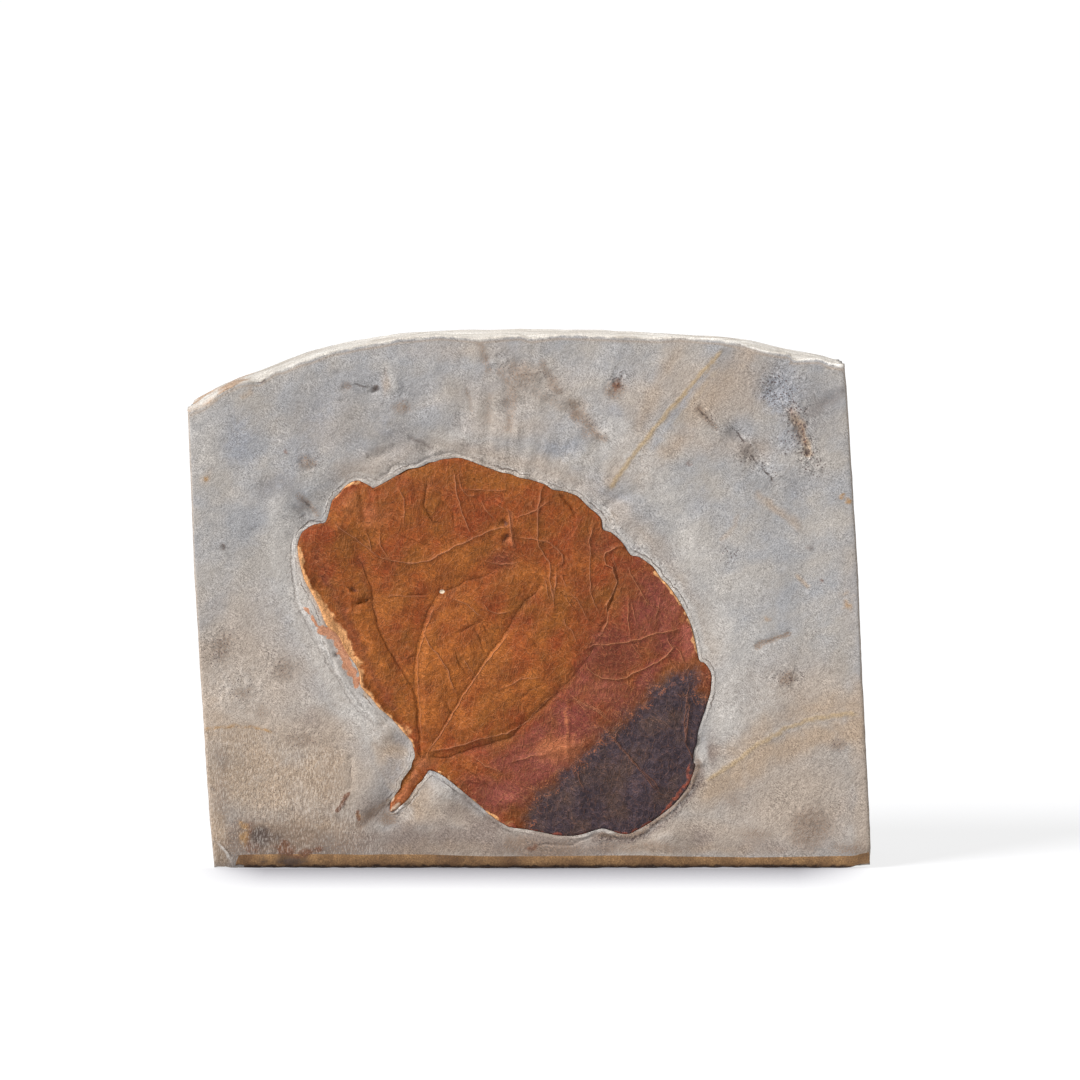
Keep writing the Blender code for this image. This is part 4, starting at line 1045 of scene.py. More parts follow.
# The light lip, the dark groove and the light ridge beyond it that the needle left round the leaf, at
# their distances from it in mm, and not beside the scraps of film or in shade
gap = node(tree, "Math", {0: pattern["mottles"], 1: 0.7, 2: mark["from_leaf"]}, operation="MULTIPLY_ADD")
lip = node(tree, "MapRange", {0: gap, 1: 1.6, 2: 1.3, 4: 0.7}, interpolation_type="SMOOTHSTEP")
lip = node(tree, "Math", {0: lip, 1: pattern["mottles"]}, operation="MULTIPLY")
clear = node(tree, "Math", {0: mark["red_film"], 1: mark["shade"]}, operation="ADD")
clear = node(tree, "MapRange", {0: clear, 1: 0.6, 2: 0.2})
lip = node(tree, "Math", {0: lip, 1: clear}, operation="MULTIPLY")
broken = node(tree, "MapRange", {0: pattern["blotches"], 1: 0.25, 2: 0.75, 4: 0.75})
broken = node(tree, "Math", {0: broken, 1: clear}, operation="MULTIPLY")
groove = node(tree, "Math", {0: gap, 1: 1.65}, operation="SUBTRACT")
groove = node(tree, "Math", {0: groove}, operation="ABSOLUTE")
groove = node(tree, "MapRange", {0: groove, 1: 0.24, 2: 0.04}, interpolation_type="SMOOTHSTEP")
groove = node(tree, "Math", {0: groove, 1: broken}, operation="MULTIPLY")
ridge = node(tree, "Math", {0: gap, 1: 2.05, 2: 0.22}, operation="COMPARE")
ridge = node(tree, "Math", {0: ridge, 1: broken}, operation="MULTIPLY")
ridge = node(tree, "Math", {0: ridge, 1: 0.5}, operation="MULTIPLY")
for share, hex_colour in ((dust, "#97897c"), (lip, "#b7afa6"), (groove, "#5d5048"), (ridge, "#c0bab4")):
    colour = node(tree, "Mix", {0: share, 6: colour, 7: srgb(hex_colour)}, 2, data_type="RGBA")

# Narrow lines: the mark of the distance to them, half their width in mm, their colour and strength
line_strength = {}
for name, width, hex_colour, strength in (
    ("ochre_line", 1.4, "#a18965", 0.75),
    ("light_line", 0.75, "#c1bcb7", 0.8),
    ("crack", 0.45, "#42352f", 0.9),
):
    line = drawn_line(tree, mark[name + "_side"], width, strength)
    shown = mark[name + "_shown"]
    broken = node(tree, "Math", {0: pattern["mottles"], 1: 0.7, 2: -0.25}, operation="MULTIPLY_ADD")
    broken = node(tree, "Math", {0: shown, 1: broken}, operation="ADD", use_clamp=True)
    broken = node(tree, "Math", {0: broken, 1: shown}, operation="MULTIPLY")
    line = node(tree, "Math", {0: line, 1: broken}, operation="MULTIPLY", use_clamp=True)
    line_strength[name] = line
    colour = node(tree, "Mix", {0: line, 6: colour, 7: srgb(hex_colour)}, 2, data_type="RGBA")

# The light and dark of the surface itself, which keeps the hue: pattern, how far it goes either way, where
rough = node(tree, "MapRange", {0: pattern["blotches"], 1: 0.2, 2: 0.8, 3: 0.65, 4: 1.15})
rough = node(tree, "Math", {0: mark["specks"], 1: 0.6, 2: rough}, operation="MULTIPLY_ADD")
pebbles = node(tree, "TexVoronoi", {"Vector": bent, "Scale": 1.0 / 1.5}, feature="SMOOTH_F1")
pebbles = node(tree, "MapRange", {0: pebbles, 1: 0.55, 2: 0.15})
tone = light_and_dark(tree, (
    (pattern["clouds"], 0.04, 1.0), (pattern["blotches"], 0.03, 1.0), (pattern["mottles"], 0.05, rough),
    (strokes, 0.1, rough), (pattern["grains"], 0.33, rough), (pattern["bedding"], 0.13, layered),
    (pebbles, 0.16, mark["specks"]),
))
colour = node(tree, "VectorMath", {0: colour, "Scale": tone}, operation="SCALE")

# Cream where the needle cut fresh stone, and brown dust in the hollows between
fresh = node(tree, "Math", {0: mark["combed"], 1: 0.24, 2: 0.1}, operation="MULTIPLY_ADD")
fresh = node(tree, "MapRange", {0: strokes, 1: 0.62, 2: 0.95, 4: fresh})
off_foot = node(tree, "Math", {0: 1.0, 1: foot_edge}, operation="SUBTRACT")
fresh = node(tree, "Math", {0: fresh, 1: off_foot}, operation="MULTIPLY")
dusty = node(tree, "Math", {0: mark["warm"], 1: 0.2, 2: 0.08}, operation="MULTIPLY_ADD")
dusty = node(tree, "MapRange", {0: strokes, 1: 0.4, 2: 0.1, 4: dusty})

# Specks of manganese and iron, 0.2 to 0.7 mm across, thick in a few places and rare elsewhere
flecks = node(tree, "TexVoronoi", {"Vector": bent, "Scale": 1.0 / 0.9, "Randomness": 1.0})
fleck_size = node(tree, "Math", {0: pattern["mottles"], 1: 0.5, 2: 0.5}, operation="MULTIPLY_ADD")
fleck_size = node(tree, "Math", {0: fleck_size, 1: mark["specks"]}, operation="MULTIPLY")
fleck_size = node(tree, "Math", {0: fleck_size, 1: 0.38, 2: 0.1}, operation="MULTIPLY_ADD")
flecks = node(tree, "Math", {0: fleck_size, 1: flecks}, operation="SUBTRACT")
flecks = node(tree, "MapRange", {0: flecks, 1: 0.0, 2: 0.1, 4: 0.8})
for share, hex_colour in ((fresh, "#bdb4ab"), (dusty, "#6a5b50"), (flecks, "#514341")):
    colour = node(tree, "Mix", {0: share, 6: colour, 7: srgb(hex_colour)}, 2, data_type="RGBA")

# The weathered crust of the top, ends and back, layered as the silt was laid down, rusty at its left
creams = {0: pattern["bedding"], 6: srgb("#b3aa9f"), 7: srgb("#c7c3bd")}
crust = node(tree, "Mix", creams, 2, data_type="RGBA")
rusty = node(tree, "Math", {0: mark["rusted"], 1: pattern["blotches"]}, operation="MULTIPLY")
rusty = node(tree, "MapRange", {0: rusty, 1: 0.3, 2: 0.8, 4: 0.7})
crust = node(tree, "Mix", {0: rusty, 6: crust, 7: srgb("#9a7553")}, 2, data_type="RGBA")
crust = node(tree, "VectorMath", {0: crust, "Scale": tone}, operation="SCALE")
from_left = node(tree, "SeparateXYZ", {0: place}, out="X")
from_left = node(tree, "MapRange", {0: from_left, 1: -75.0, 2: -20.0, 3: 0.76, 4: 1.0})
crust = node(tree, "VectorMath", {0: crust, "Scale": from_left}, operation="SCALE")
crusted = node(tree, "Math", {0: pattern["mottles"], 1: 0.4, 2: mark["crust"]}, operation="MULTIPLY_ADD")
crusted = node(tree, "MapRange", {0: crusted, 1: 0.6, 2: 0.9})
colour = node(tree, "Mix", {0: crusted, 6: colour, 7: crust}, 2, data_type="RGBA")
tree.links.new(colour, shader.inputs["Base Color"])

# Relief too fine for the mesh, in mm: pattern and height
pebbly = node(tree, "Math", {0: pebbles, 1: mark["specks"]}, operation="MULTIPLY")
fine_relief(tree, shader, (
    (strokes, 0.025), (pattern["grains"], 0.05), (pattern["mottles"], 0.08), (pattern["bedding"], 0.03),
    (line_strength["crack"], -0.3), (line_strength["ochre_line"], 0.05), (groove, -0.16), (flecks, -0.06),
    (pebbly, 0.25),
))
shader.inputs["Roughness"].default_value = 0.92
shader.inputs["Specular IOR Level"].default_value = 0.3
shader.inputs["IOR"].default_value = 1.5
slab_vertices = np.vstack([grid.reshape(-1, 3), floor_pole, back_pole])
slab = new_piece("stone_slab", slab_vertices, closed_grid(ring_count, STATIONS), siltstone, slab_marks)
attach(slab, "root")
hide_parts("matrix_slab")


# The fossil leaf
# The film of one broad leaf with its stalk, pressed flat, stained by iron, a few tenths of a millimetre
# thick on the stone. Its main veins are grooves, and the film is finely wrinkled. It is fast in its
# pocket in the slab.
LEAF_GRID = 290
UNDER_SHARES = (0.75, 0.5, 0.25)
FILM_SWELL_LENGTH = 8.0 * MM
FILM_SWELL_RISE = 0.22 * MM
FILM_LUMP_LENGTH = 2.0 * MM
FILM_LUMP_RISE = 0.1 * MM
FILM_WANDER_LENGTH = 2.0 * MM
FILM_WANDER = 0.25 * MM
MARGIN_DROP = 0.15 * MM
MARGIN_DROP_WIDTH = 0.45 * MM
DEEPEST_CREASE = 1.1 * MM

# Lines in the film's relief, as in the stone's: picture points, height, left spread and right spread
FILM_LINES = [
    # Main veins
    ([(420, 748), (416, 696), (409, 681), (386, 646), (379, 630), (373, 607), (372, 590), (365, 572),
      (357, 556)], -0.25, 0.45, 1.2),
    ([(422, 745), (416, 702), (414, 672), (417, 646), (427, 615), (435, 598), (441, 592), (457, 588),
      (465, 582), (489, 575), (497, 568)], -0.15, 0.4, 0.9),
    ([(425, 757), (431, 749), (464, 692), (473, 680), (490, 653), (499, 643), (507, 631), (518, 610),
      (536, 592), (541, 584)], -0.16, 0.35, 0.6),
    ([(425, 757), (436, 758), (448, 758), (460, 753), (507, 739), (514, 736), (518, 730), (540, 708),
      (557, 693)], -0.25, 0.45, 1.0),
    ([(557, 693), (572, 678), (584, 664), (601, 636), (607, 600)], -0.12, 0.5, 0.9),
    ([(331, 521), (378, 556), (390, 560), (405, 563), (418, 563), (430, 560), (457, 545), (471, 540),
      (478, 536), (492, 530), (507, 526)], 0.25, 0.45, 0.5),
    # The ridges on the lit side of the main veins, which also take the wrinkles' painted highlight
    ([(426, 757), (438, 738), (450, 719), (467, 690), (487, 662), (507, 636)], 0.2, 0.35, 0.35),
    ([(422, 745), (421, 719), (418, 690), (417, 660), (427, 626), (437, 602)], 0.14, 0.35, 0.35),
    ([(428, 752), (459, 746), (489, 737), (508, 733), (524, 725), (540, 707), (556, 692)], 0.2, 0.35, 0.35),
    # The swells beside the veins
    ([(434, 750), (456, 714), (515, 628), (545, 590)], 0.12, 1.3, 1.6),
    ([(450, 747), (475, 739), (505, 727), (530, 711), (552, 688), (578, 658)], 0.2, 1.4, 0.9),
    ([(424, 735), (425, 665), (432, 630)], 0.3, 1.0, 1.6),
    # The crest of the left margin, and the trough inside it
    ([(300, 560), (312, 592), (330, 625), (350, 665), (368, 692), (390, 715), (415, 750)], 0.8, 1.1, 2.4),
    ([(318, 585), (336, 622), (358, 660), (400, 725)], -0.7, 3.6, 1.8),
    ([(330, 560), (352, 590), (366, 630), (388, 672)], 0.25, 2.0, 2.4),
    # Folds
    ([(358, 484), (365, 520)], -0.5, 1.1, 0.9), ([(373, 488), (375, 505), (380, 528)], 0.35, 1.3, 1.1),
    ([(343, 492), (346, 505), (352, 522)], 0.3, 1.0, 1.3),
    ([(355, 607), (362, 600), (371, 607)], -0.45, 0.6, 0.8),
    ([(345, 586), (352, 592), (362, 596)], 0.35, 0.7, 0.7),
    ([(348, 612), (360, 614), (372, 618)], 0.3, 0.8, 0.8), ([(510, 762), (590, 742)], 0.25, 1.0, 1.0),
    ([(567, 697), (568, 758)], 0.3, 0.9, 0.7), ([(470, 783), (520, 795), (545, 810)], -0.3, 0.6, 0.9),
    ([(601, 688), (630, 687)], 0.25, 0.9, 0.9), ([(410, 480), (414, 510), (420, 540)], 0.22, 1.4, 1.6),
    ([(440, 482), (443, 505), (450, 530)], -0.2, 1.4, 1.2),
    ([(575, 530), (572, 560), (575, 600)], 0.2, 1.6, 1.6),
    ([(520, 650), (545, 625), (560, 600)], 0.2, 1.6, 1.6),
    ([(480, 700), (505, 690), (530, 670)], -0.2, 1.6, 1.6),
    ([(610, 590), (622, 615), (620, 650)], -0.22, 1.4, 1.4),
    ([(640, 600), (650, 625), (655, 650)], 0.22, 1.4, 1.4),
    ([(520, 780), (550, 775), (580, 762)], 0.22, 1.2, 1.6),
    # Wrinkles of the upper lobes
    ([(453, 470), (457, 495), (465, 519), (470, 532), (473, 536)], 0.26, 0.5, 0.5),
    ([(459, 476), (461, 488), (467, 495), (472, 497), (478, 494)], 0.2, 0.4, 0.4),
    ([(465, 488), (492, 491), (502, 491), (508, 488)], 0.18, 0.4, 0.4),
    ([(424, 480), (428, 484), (424, 505), (434, 522), (441, 524), (446, 526)], -0.28, 0.5, 0.5),
    ([(542, 485), (541, 499), (537, 508), (538, 538), (540, 547), (549, 563), (550, 570), (549, 578),
      (553, 592), (555, 608)], 0.26, 0.5, 0.5),
    ([(516, 537), (528, 538), (550, 542), (557, 546)], 0.2, 0.4, 0.4),
    ([(496, 504), (506, 510)], 0.2, 0.35, 0.35), ([(402, 596), (433, 594)], -0.2, 0.35, 0.35),
    ([(562, 496), (570, 506), (576, 517)], -0.5, 0.4, 0.55),
    ([(540, 542), (550, 543), (557, 548), (562, 554), (563, 562), (558, 567)], 0.22, 0.4, 0.4),
    ([(556, 568), (555, 598)], 0.22, 0.4, 0.4), ([(560, 574), (568, 590)], 0.2, 0.35, 0.35),
    ([(558, 590), (566, 598), (574, 604)], -0.2, 0.35, 0.35),
    ([(568, 589), (578, 600), (589, 623)], 0.2, 0.35, 0.35), ([(564, 595), (575, 611)], 0.18, 0.35, 0.35),
    ([(612, 552), (617, 570), (618, 582), (614, 595), (609, 607), (606, 620), (598, 634)],
      -0.35, 0.45, 0.45),
    ([(564, 618), (566, 630)], 0.18, 0.35, 0.35), ([(516, 518), (534, 511), (552, 500)], 0.18, 0.35, 0.35),
    ([(543, 575), (548, 591), (550, 601)], 0.18, 0.35, 0.35),
    ([(480, 560), (500, 565), (520, 562)], 0.16, 0.35, 0.35),
    ([(594, 523), (590, 536), (590, 580), (591, 592), (595, 604), (601, 616)], 0.24, 0.45, 0.5),
    ([(624, 546), (614, 548), (607, 552), (604, 557), (606, 564), (612, 568), (617, 581), (614, 592),
      (610, 598), (606, 604), (608, 615), (606, 623), (600, 636)], 0.28, 0.5, 0.5),
    ([(612, 552), (618, 574)], 0.18, 0.3, 0.3), ([(366, 530), (372, 552), (378, 558)], 0.2, 0.4, 0.4),
    ([(380, 530), (380, 545), (390, 560)], 0.2, 0.4, 0.4),
    ([(398, 485), (404, 500), (404, 527)], 0.18, 0.4, 0.4),
    ([(480, 497), (486, 510), (497, 522)], 0.18, 0.4, 0.4),
    ([(440, 500), (452, 512), (455, 528)], -0.2, 0.4, 0.4),
    ([(390, 530), (410, 540), (430, 545)], -0.16, 0.4, 0.4),
    # Wrinkles of the right lobe
    ([(626, 562), (632, 576), (640, 590), (647, 602), (656, 610)], 0.22, 0.4, 0.4),
    ([(660, 600), (656, 620)], 0.2, 0.35, 0.35), ([(628, 596), (628, 620), (630, 639)], 0.22, 0.4, 0.4),
    ([(630, 598), (637, 625)], 0.18, 0.35, 0.35),
    ([(586, 648), (601, 644), (616, 644), (642, 638), (657, 633), (680, 629)], 0.24, 0.4, 0.45),
    ([(586, 660), (588, 668), (594, 674), (603, 678), (615, 679), (627, 678), (632, 674), (657, 663),
      (666, 656), (673, 649), (668, 641), (667, 634)], 0.28, 0.4, 0.45),
    ([(666, 657), (682, 674)], 0.2, 0.35, 0.35), ([(673, 645), (680, 653), (688, 670)], 0.2, 0.35, 0.35),
    ([(630, 641), (636, 651), (644, 660)], 0.2, 0.35, 0.35), ([(601, 645), (606, 651)], 0.18, 0.3, 0.3),
    ([(574, 699), (590, 713)], 0.2, 0.35, 0.35), ([(588, 702), (594, 708), (609, 715)], 0.2, 0.35, 0.35),
    ([(690, 682), (686, 702), (686, 710), (684, 722), (685, 736), (686, 745)], 0.26, 0.45, 0.45),
    ([(677, 693), (682, 699)], 0.2, 0.3, 0.3), ([(690, 692), (697, 706)], 0.2, 0.3, 0.3),
    ([(618, 728), (615, 739), (634, 762), (644, 772), (653, 780), (659, 789), (659, 796)], 0.22, 0.4, 0.4),
    ([(572, 768), (576, 778)], 0.2, 0.3, 0.3),
    # Wrinkles of the middle and the foot
    ([(422, 631), (432, 648), (442, 660), (448, 672), (456, 695)], 0.3, 0.5, 0.5),
    ([(458, 633), (480, 622)], -0.26, 0.4, 0.4),
    ([(451, 598), (467, 605), (478, 614), (486, 618)], 0.26, 0.5, 0.5),
    ([(480, 600), (488, 610), (499, 614), (513, 612)], 0.24, 0.45, 0.45),
    ([(475, 628), (480, 640), (484, 651)], -0.22, 0.4, 0.4), ([(483, 624), (490, 636)], -0.24, 0.35, 0.35),
    ([(454, 649), (461, 666), (468, 678)], -0.22, 0.4, 0.4), ([(462, 654), (476, 679)], 0.18, 0.35, 0.35),
    ([(512, 762), (520, 760), (530, 756), (544, 754)], 0.2, 0.35, 0.35),
    ([(386, 596), (429, 596)], 0.16, 0.35, 0.35), ([(409, 658), (416, 655)], -0.2, 0.35, 0.35),
    ([(354, 604), (365, 600)], -0.4, 0.5, 0.5), ([(508, 511), (513, 545)], 0.5, 0.5, 0.6),
    ([(350, 589), (357, 594)], -0.45, 0.4, 0.5), ([(361, 601), (371, 599)], -0.4, 0.35, 0.4),
    ([(525, 635), (534, 641), (540, 650)], -0.2, 0.4, 0.4),
    ([(500, 690), (520, 680), (545, 676)], 0.16, 0.4, 0.4),
    ([(445, 700), (452, 712), (462, 722)], -0.16, 0.4, 0.4),
    ([(470, 755), (486, 766), (505, 774)], 0.2, 0.4, 0.4),
    ([(455, 765), (475, 775), (490, 788)], -0.16, 0.4, 0.4),
    ([(520, 700), (530, 690), (548, 684)], -0.16, 0.4, 0.4),
    ([(560, 620), (572, 632), (580, 648)], 0.18, 0.4, 0.4), ([(567, 692), (612, 722)], 0.25, 0.5, 0.4),
    ([(608, 732), (622, 750), (640, 770), (659, 794)], 0.25, 0.45, 0.4),
    ([(574, 765), (585, 793)], 0.2, 0.4, 0.4),
    ([(680, 688), (690, 706), (685, 742), (694, 762)], 0.25, 0.5, 0.4),
]
FILM_PITS = [
    ((354, 590), 1.4, 0.5), ((321, 587), 1.4, 0.5), ((364, 602), 1.2, 0.5), ((457, 620), 3.0, 0.2),
    ((504, 522), 1.7, 0.8), ((506, 538), 2.0, 0.8), ((515, 545), 1.8, 0.2), ((452, 740), 2.0, 0.2),
]
# A chip of white mineral on the film: its middle, and half its length and width in millimetres
CHIP_PX = (442, 592)
CHIP_LONG, CHIP_WIDE = 0.85, 0.6

# Stains of the film, as of the stone
FILM_STAINS = {
    "red": (
        [((655, 612), 14, 17, 1.0), ((620, 650), 13, 14, 0.7), ((600, 690), 14, 10, 0.6),
         ((575, 725), 14, 12, 0.95), ((540, 768), 18, 12, 1.0), ((500, 795), 14, 9, 1.0),
         ((620, 700), 10, 10, 0.9), ((490, 752), 9, 6, 0.5), ((470, 785), 6, 5, 0.6),
         ((640, 560), 8, 6, 0.4), ((665, 640), 12, 12, 0.8)],
        [([(604, 640), (575, 690), (540, 735), (500, 765)], 7.0, 0.8),
         ([(655, 665), (630, 700), (600, 735)], 5.0, 0.9)],
    ),
    "ember": (
        [((688, 772), 1, 3, 1.0)],
        [([(500, 821), (520, 830), (545, 835), (575, 838), (601, 831), (629, 836), (662, 818), (696, 771)],
          1.2, 1.0)],
    ),
    "rose": (
        [((690, 640), 4, 12, 0.9), ((672, 602), 5, 10, 0.6), ((540, 765), 12, 6, 0.6),
         ((500, 792), 9, 6, 0.5), ((600, 690), 9, 8, 0.5)],
        [],
    ),
    "brown": (
        [((318, 560), 5, 9, 0.4), ((500, 560), 7, 5, 0.7), ((608, 664), 11, 12, 0.75),
         ((600, 540), 12, 9, 0.6), ((625, 575), 8, 10, 0.5), ((706, 688), 3, 8, 1.0),
         ((345, 640), 6, 8, 0.5), ((430, 485), 16, 4, 0.35), ((590, 600), 6, 12, 0.4)],
        [([(322, 575), (342, 610), (362, 655), (392, 708)], 3.0, 0.6),
         ([(357, 556), (373, 610), (400, 668)], 1.6, 0.4)],
    ),
    "gold": (
        [((372, 640), 9, 24, 0.9), ((449, 566), 12, 8, 0.8), ((455, 702), 7, 14, 0.9),
         ((450, 600), 12, 14, 0.7), ((440, 680), 12, 22, 1.0), ((480, 650), 12, 12, 0.8),
         ((520, 690), 12, 10, 0.6), ((530, 640), 6, 8, 0.5), ((400, 600), 8, 14, 0.45),
         ((525, 572), 8, 5, 0.5), ((470, 700), 10, 8, 0.5), ((345, 510), 6, 5, 0.5),
         ((570, 560), 9, 9, 0.5)],
        [([(436, 748), (517, 628)], 3.0, 0.4)],
    ),
    "ochre": (
        [((505, 824), 4, 1, 0.5), ((404, 738), 3, 5, 0.5)],
        # Along the left margin, which faces the key, the rim is the film's own ochre and partly a painted
        # highlight
        [([(297, 548), (303, 575), (309, 590), (315, 600)], 1.4, 1.0),
         ([(309, 590), (318, 605), (325, 623)], 2.4, 1.0),
         ([(322, 614), (330, 629), (336, 633), (344, 648)], 3.9, 1.0),
         ([(340, 640), (356, 666), (359, 675), (360, 684)], 2.6, 1.0),
         ([(360, 684), (372, 699), (412, 743)], 1.3, 0.8), ([(332, 500), (345, 487), (357, 482)], 1.0, 0.6),
         ([(440, 776), (500, 822)], 0.9, 0.8), ([(656, 571), (679, 601), (689, 620), (697, 652)], 0.8, 0.8)],
    ),
    "pink_and_knob_highlight": (
        [((352, 503), 6, 6, 0.6), ((374, 512), 7, 6, 0.6), ((558, 750), 10, 6, 0.8),
         ((424, 763), 5, 3, 0.8)],
        # Along the knob's ridge the pink is a painted highlight; elsewhere it is the film's own pink
        [([(567, 700), (568, 755)], 1.2, 0.5), ([(509, 511), (513, 546)], 1.3, 1.0),
         ([(415, 775), (403, 798), (393, 808)], 2.2, 0.9)],
    ),
    # Painted shade in the pits beside the knob and in two creases of the left lobe
    "pit_shade": (
        [((504, 522), 1.5, 1.5, 0.9), ((506, 538), 1.5, 2, 0.85), ((354, 591), 1, 0.5, 0.8),
         ((366, 603), 1.5, 0.5, 0.7)],
        [],
    ),
    "white": (
        [],
        [([(389, 802), (398, 785)], 0.7, 0.7), ([(391, 811), (400, 806)], 0.7, 0.7)],
    ),
}
DARK_PATCH_PX = [
    (697, 664), (680, 668), (664, 676), (643, 700), (602, 731), (568, 767), (540, 792), (531, 805),
    (524, 820), (522, 850), (700, 850), (725, 770), (725, 690), (712, 700), (703, 690),
]

# The film's grid: squares about the leaf's centre, each stretched to the margin's curve drawn smaller
half = LEAF_GRID // 2
steps = np.arange(-half, half + 1)
u, v = (axis.ravel() for axis in np.meshgrid(steps, steps, indexing="ij"))
square = np.maximum(np.abs(u), np.abs(v))
unit = np.maximum(square, 1)
# Share of the way round its square, clockwise from the upper left corner
round_share = np.select(
    [v == square, u == square, v == -square],
    [(u + square) / unit, 2.0 + (square - v) / unit, 4.0 + (square - u) / unit],
    6.0 + (v + square) / unit,
) / 8.0
margin_place = round_share % 1.0 * MARGIN_SAMPLES
margin_low = np.floor(margin_place).astype(int) % MARGIN_SAMPLES
margin_next = (margin_low + 1) % MARGIN_SAMPLES
margin_share = (margin_place - np.floor(margin_place))[:, None]
margin_point = MARGIN[margin_low] * (1.0 - margin_share) + MARGIN[margin_next] * margin_share
film_points = LEAF_CENTRE + (square / half)[:, None] * (margin_point - LEAF_CENTRE)

wandering = wander(film_points, FILM_WANDER_LENGTH, 2, seed=71)
warped = film_points + FILM_WANDER * wandering
film_height = film_form(film_points) + carved(warped, FILM_PITS, FILM_LINES)
film_height += FILM_SWELL_RISE * uneven(film_points, FILM_SWELL_LENGTH, 2, seed=81)
film_height += FILM_LUMP_RISE * uneven(film_points, FILM_LUMP_LENGTH, 2, seed=91)
film_height -= MARGIN_DROP * fade(np.abs(side_distance(film_points, MARGIN_CLOSED)), MARGIN_DROP_WIDTH)
film_height = np.maximum(film_height, film_form(film_points) - DEEPEST_CREASE)
film_y = np.maximum(FRONT_Y - film_height, cad_box[0][1])

top = np.stack([film_points[:, 0], film_y, film_points[:, 1]], axis=-1)
number = np.arange(len(top)).reshape(LEAF_GRID + 1, LEAF_GRID + 1)
quads = np.stack([number[:-1, :-1], number[1:, :-1], number[1:, 1:], number[:-1, 1:]], axis=-1).reshape(-1, 4)
edge = np.concatenate([number[:-1, -1], number[-1, :0:-1], number[:0:-1, 0], number[0, :-1]])
edge_points = film_points[edge]
under_rings = [edge_points] + [LEAF_CENTRE + share * (edge_points - LEAF_CENTRE) for share in UNDER_SHARES]
under = np.array([
    np.stack([ring[:, 0], FRONT_Y - film_form(ring) + FILM_THICKNESS, ring[:, 1]], axis=-1)
    for ring in under_rings
])
under_pole = [[LEAF_CENTRE[0], under[-1, :, 1].mean(), LEAF_CENTRE[1]]]
count = len(edge)
ring_number = np.vstack([edge, len(top) + np.arange(len(under) * count).reshape(-1, count)])
beside = np.roll(ring_number, -1, axis=1)
under_quads = np.stack([ring_number[:-1], beside[:-1], beside[1:], ring_number[1:]], axis=-1).reshape(-1, 4)
pole_number = len(top) + len(under) * count
under_cap = np.stack([ring_number[-1], beside[-1], np.full(count, pole_number)], axis=-1)
leaf_vertices = np.vstack([top, under.reshape(-1, 3), under_pole])
leaf_faces = quads.tolist() + under_quads.tolist() + under_cap.tolist()


def film_mark(values):
    """A number for each vertex of the leaf from those of its face, and 0 on its underside."""
    return np.concatenate([values, np.zeros(len(leaf_vertices) - len(values))])


stained_points = film_points + STAIN_WANDER * wandering
leaf_marks = {name: film_mark(stain(stained_points, *where)) for name, where in FILM_STAINS.items()}
patch_loop = on_plate(DARK_PATCH_PX)
from_patch = np.abs(side_distance(film_points, np.vstack([patch_loop, patch_loop[:1]]))) / MM
leaf_marks["patch"] = film_mark(np.where(inside(film_points, patch_loop), from_patch, -from_patch))
from_chip = (film_points - on_plate(CHIP_PX)) / (MM * np.array([CHIP_LONG, CHIP_WIDE]))
leaf_marks["from_chip"] = film_mark(np.hypot(*from_chip.T))
# The narrow lines of the relief are coloured as well, with a painted highlight on the wrinkles and painted
# shade in the creases, fully from this height or depth in mm on
NARROW = 0.6
for name, full in (("wrinkle", 0.26), ("crease", -0.32)):
    narrow = [(line, rise / full) for line, rise, left, right in FILM_LINES if left < NARROW]
    side, shown = line_marks(warped, [(line, min(1.0, share)) for line, share in narrow if share > 0.0])
    leaf_marks[name + "_side"], leaf_marks[name + "_shown"] = film_mark(side), film_mark(shown)

# Leaf film: iron-stained plant film, dull to faintly satin. The eye gets orange-brown that is redder on the
# right, a near-black patch with a flecked edge, an ochre rim, a painted highlight along the wrinkles and
# painted shade in the creases.
# The finest veins are 0.05 mm wide; their net is drawn 0.2 mm wide, so that it shows.
FILM_PATTERNS = {
    "clouds": (18.0, 18.0, 18.0, 0.0, 2.0, 0.35, 0.65),
    "hues": (9.0, 9.0, 7.0, 60.0, 4.0, 0.36, 0.64),
    "blotches": (6.0, 6.0, 6.0, 0.0, 3.0, 0.33, 0.67),
    "mottles": (1.7, 1.7, 1.7, 0.0, 3.0, 0.32, 0.68),
    "grains": (0.36, 0.36, 0.36, 0.0, 2.0, 0.3, 0.7),
    "strokes": (1.8, 1.8, 0.34, 78.0, 3.0, 0.36, 0.64),
    "cross_strokes": (1.5, 1.5, 0.34, -30.0, 3.0, 0.36, 0.64),
}
leaf_film, tree, shader = new_finish("leaf film, iron-stained")
_, bent, pattern, mark = patterned(tree, FILM_PATTERNS, leaf_marks, bend_length=4.0, bend=1.8)
strokes = scratched(tree, pattern)
net = node(tree, "TexVoronoi", {"Vector": bent, "Scale": 1.0 / 2.0}, feature="DISTANCE_TO_EDGE")
net = node(tree, "MapRange", {0: net, 1: 0.08, 2: 0.0})

ON_FILM = [
    ("gold", "#935422", 0.85, "blotches", 0.5, 0.0, 1.0),
    ("red", "#6c352c", 0.95, "blotches", 0.3, 0.0, 1.0),
    ("brown", "#62301f", 0.85, "blotches", 0.4, 0.0, 1.0),
    ("rose", "#925043", 0.85, "blotches", 0.4, 0.0, 1.0),
    # Pink of the film, and a painted highlight along the knob's ridge
    ("pink_and_knob_highlight", "#9a5b3a", 0.8, "blotches", 0.4, 0.0, 1.0),
    ("ochre", "#cd9766", 0.95, "mottles", 0.4, 0.1, 0.6),
    # Painted shade in the pits
    ("pit_shade", "#482922", 0.8, "mottles", 0.9, 0.1, 0.9),
]
oranges = {0: pattern["hues"], 6: srgb("#7a3818"), 7: srgb("#7d471b")}
colour = node(tree, "Mix", oranges, 2, data_type="RGBA")
colour = stained(tree, colour, ON_FILM, mark, pattern)

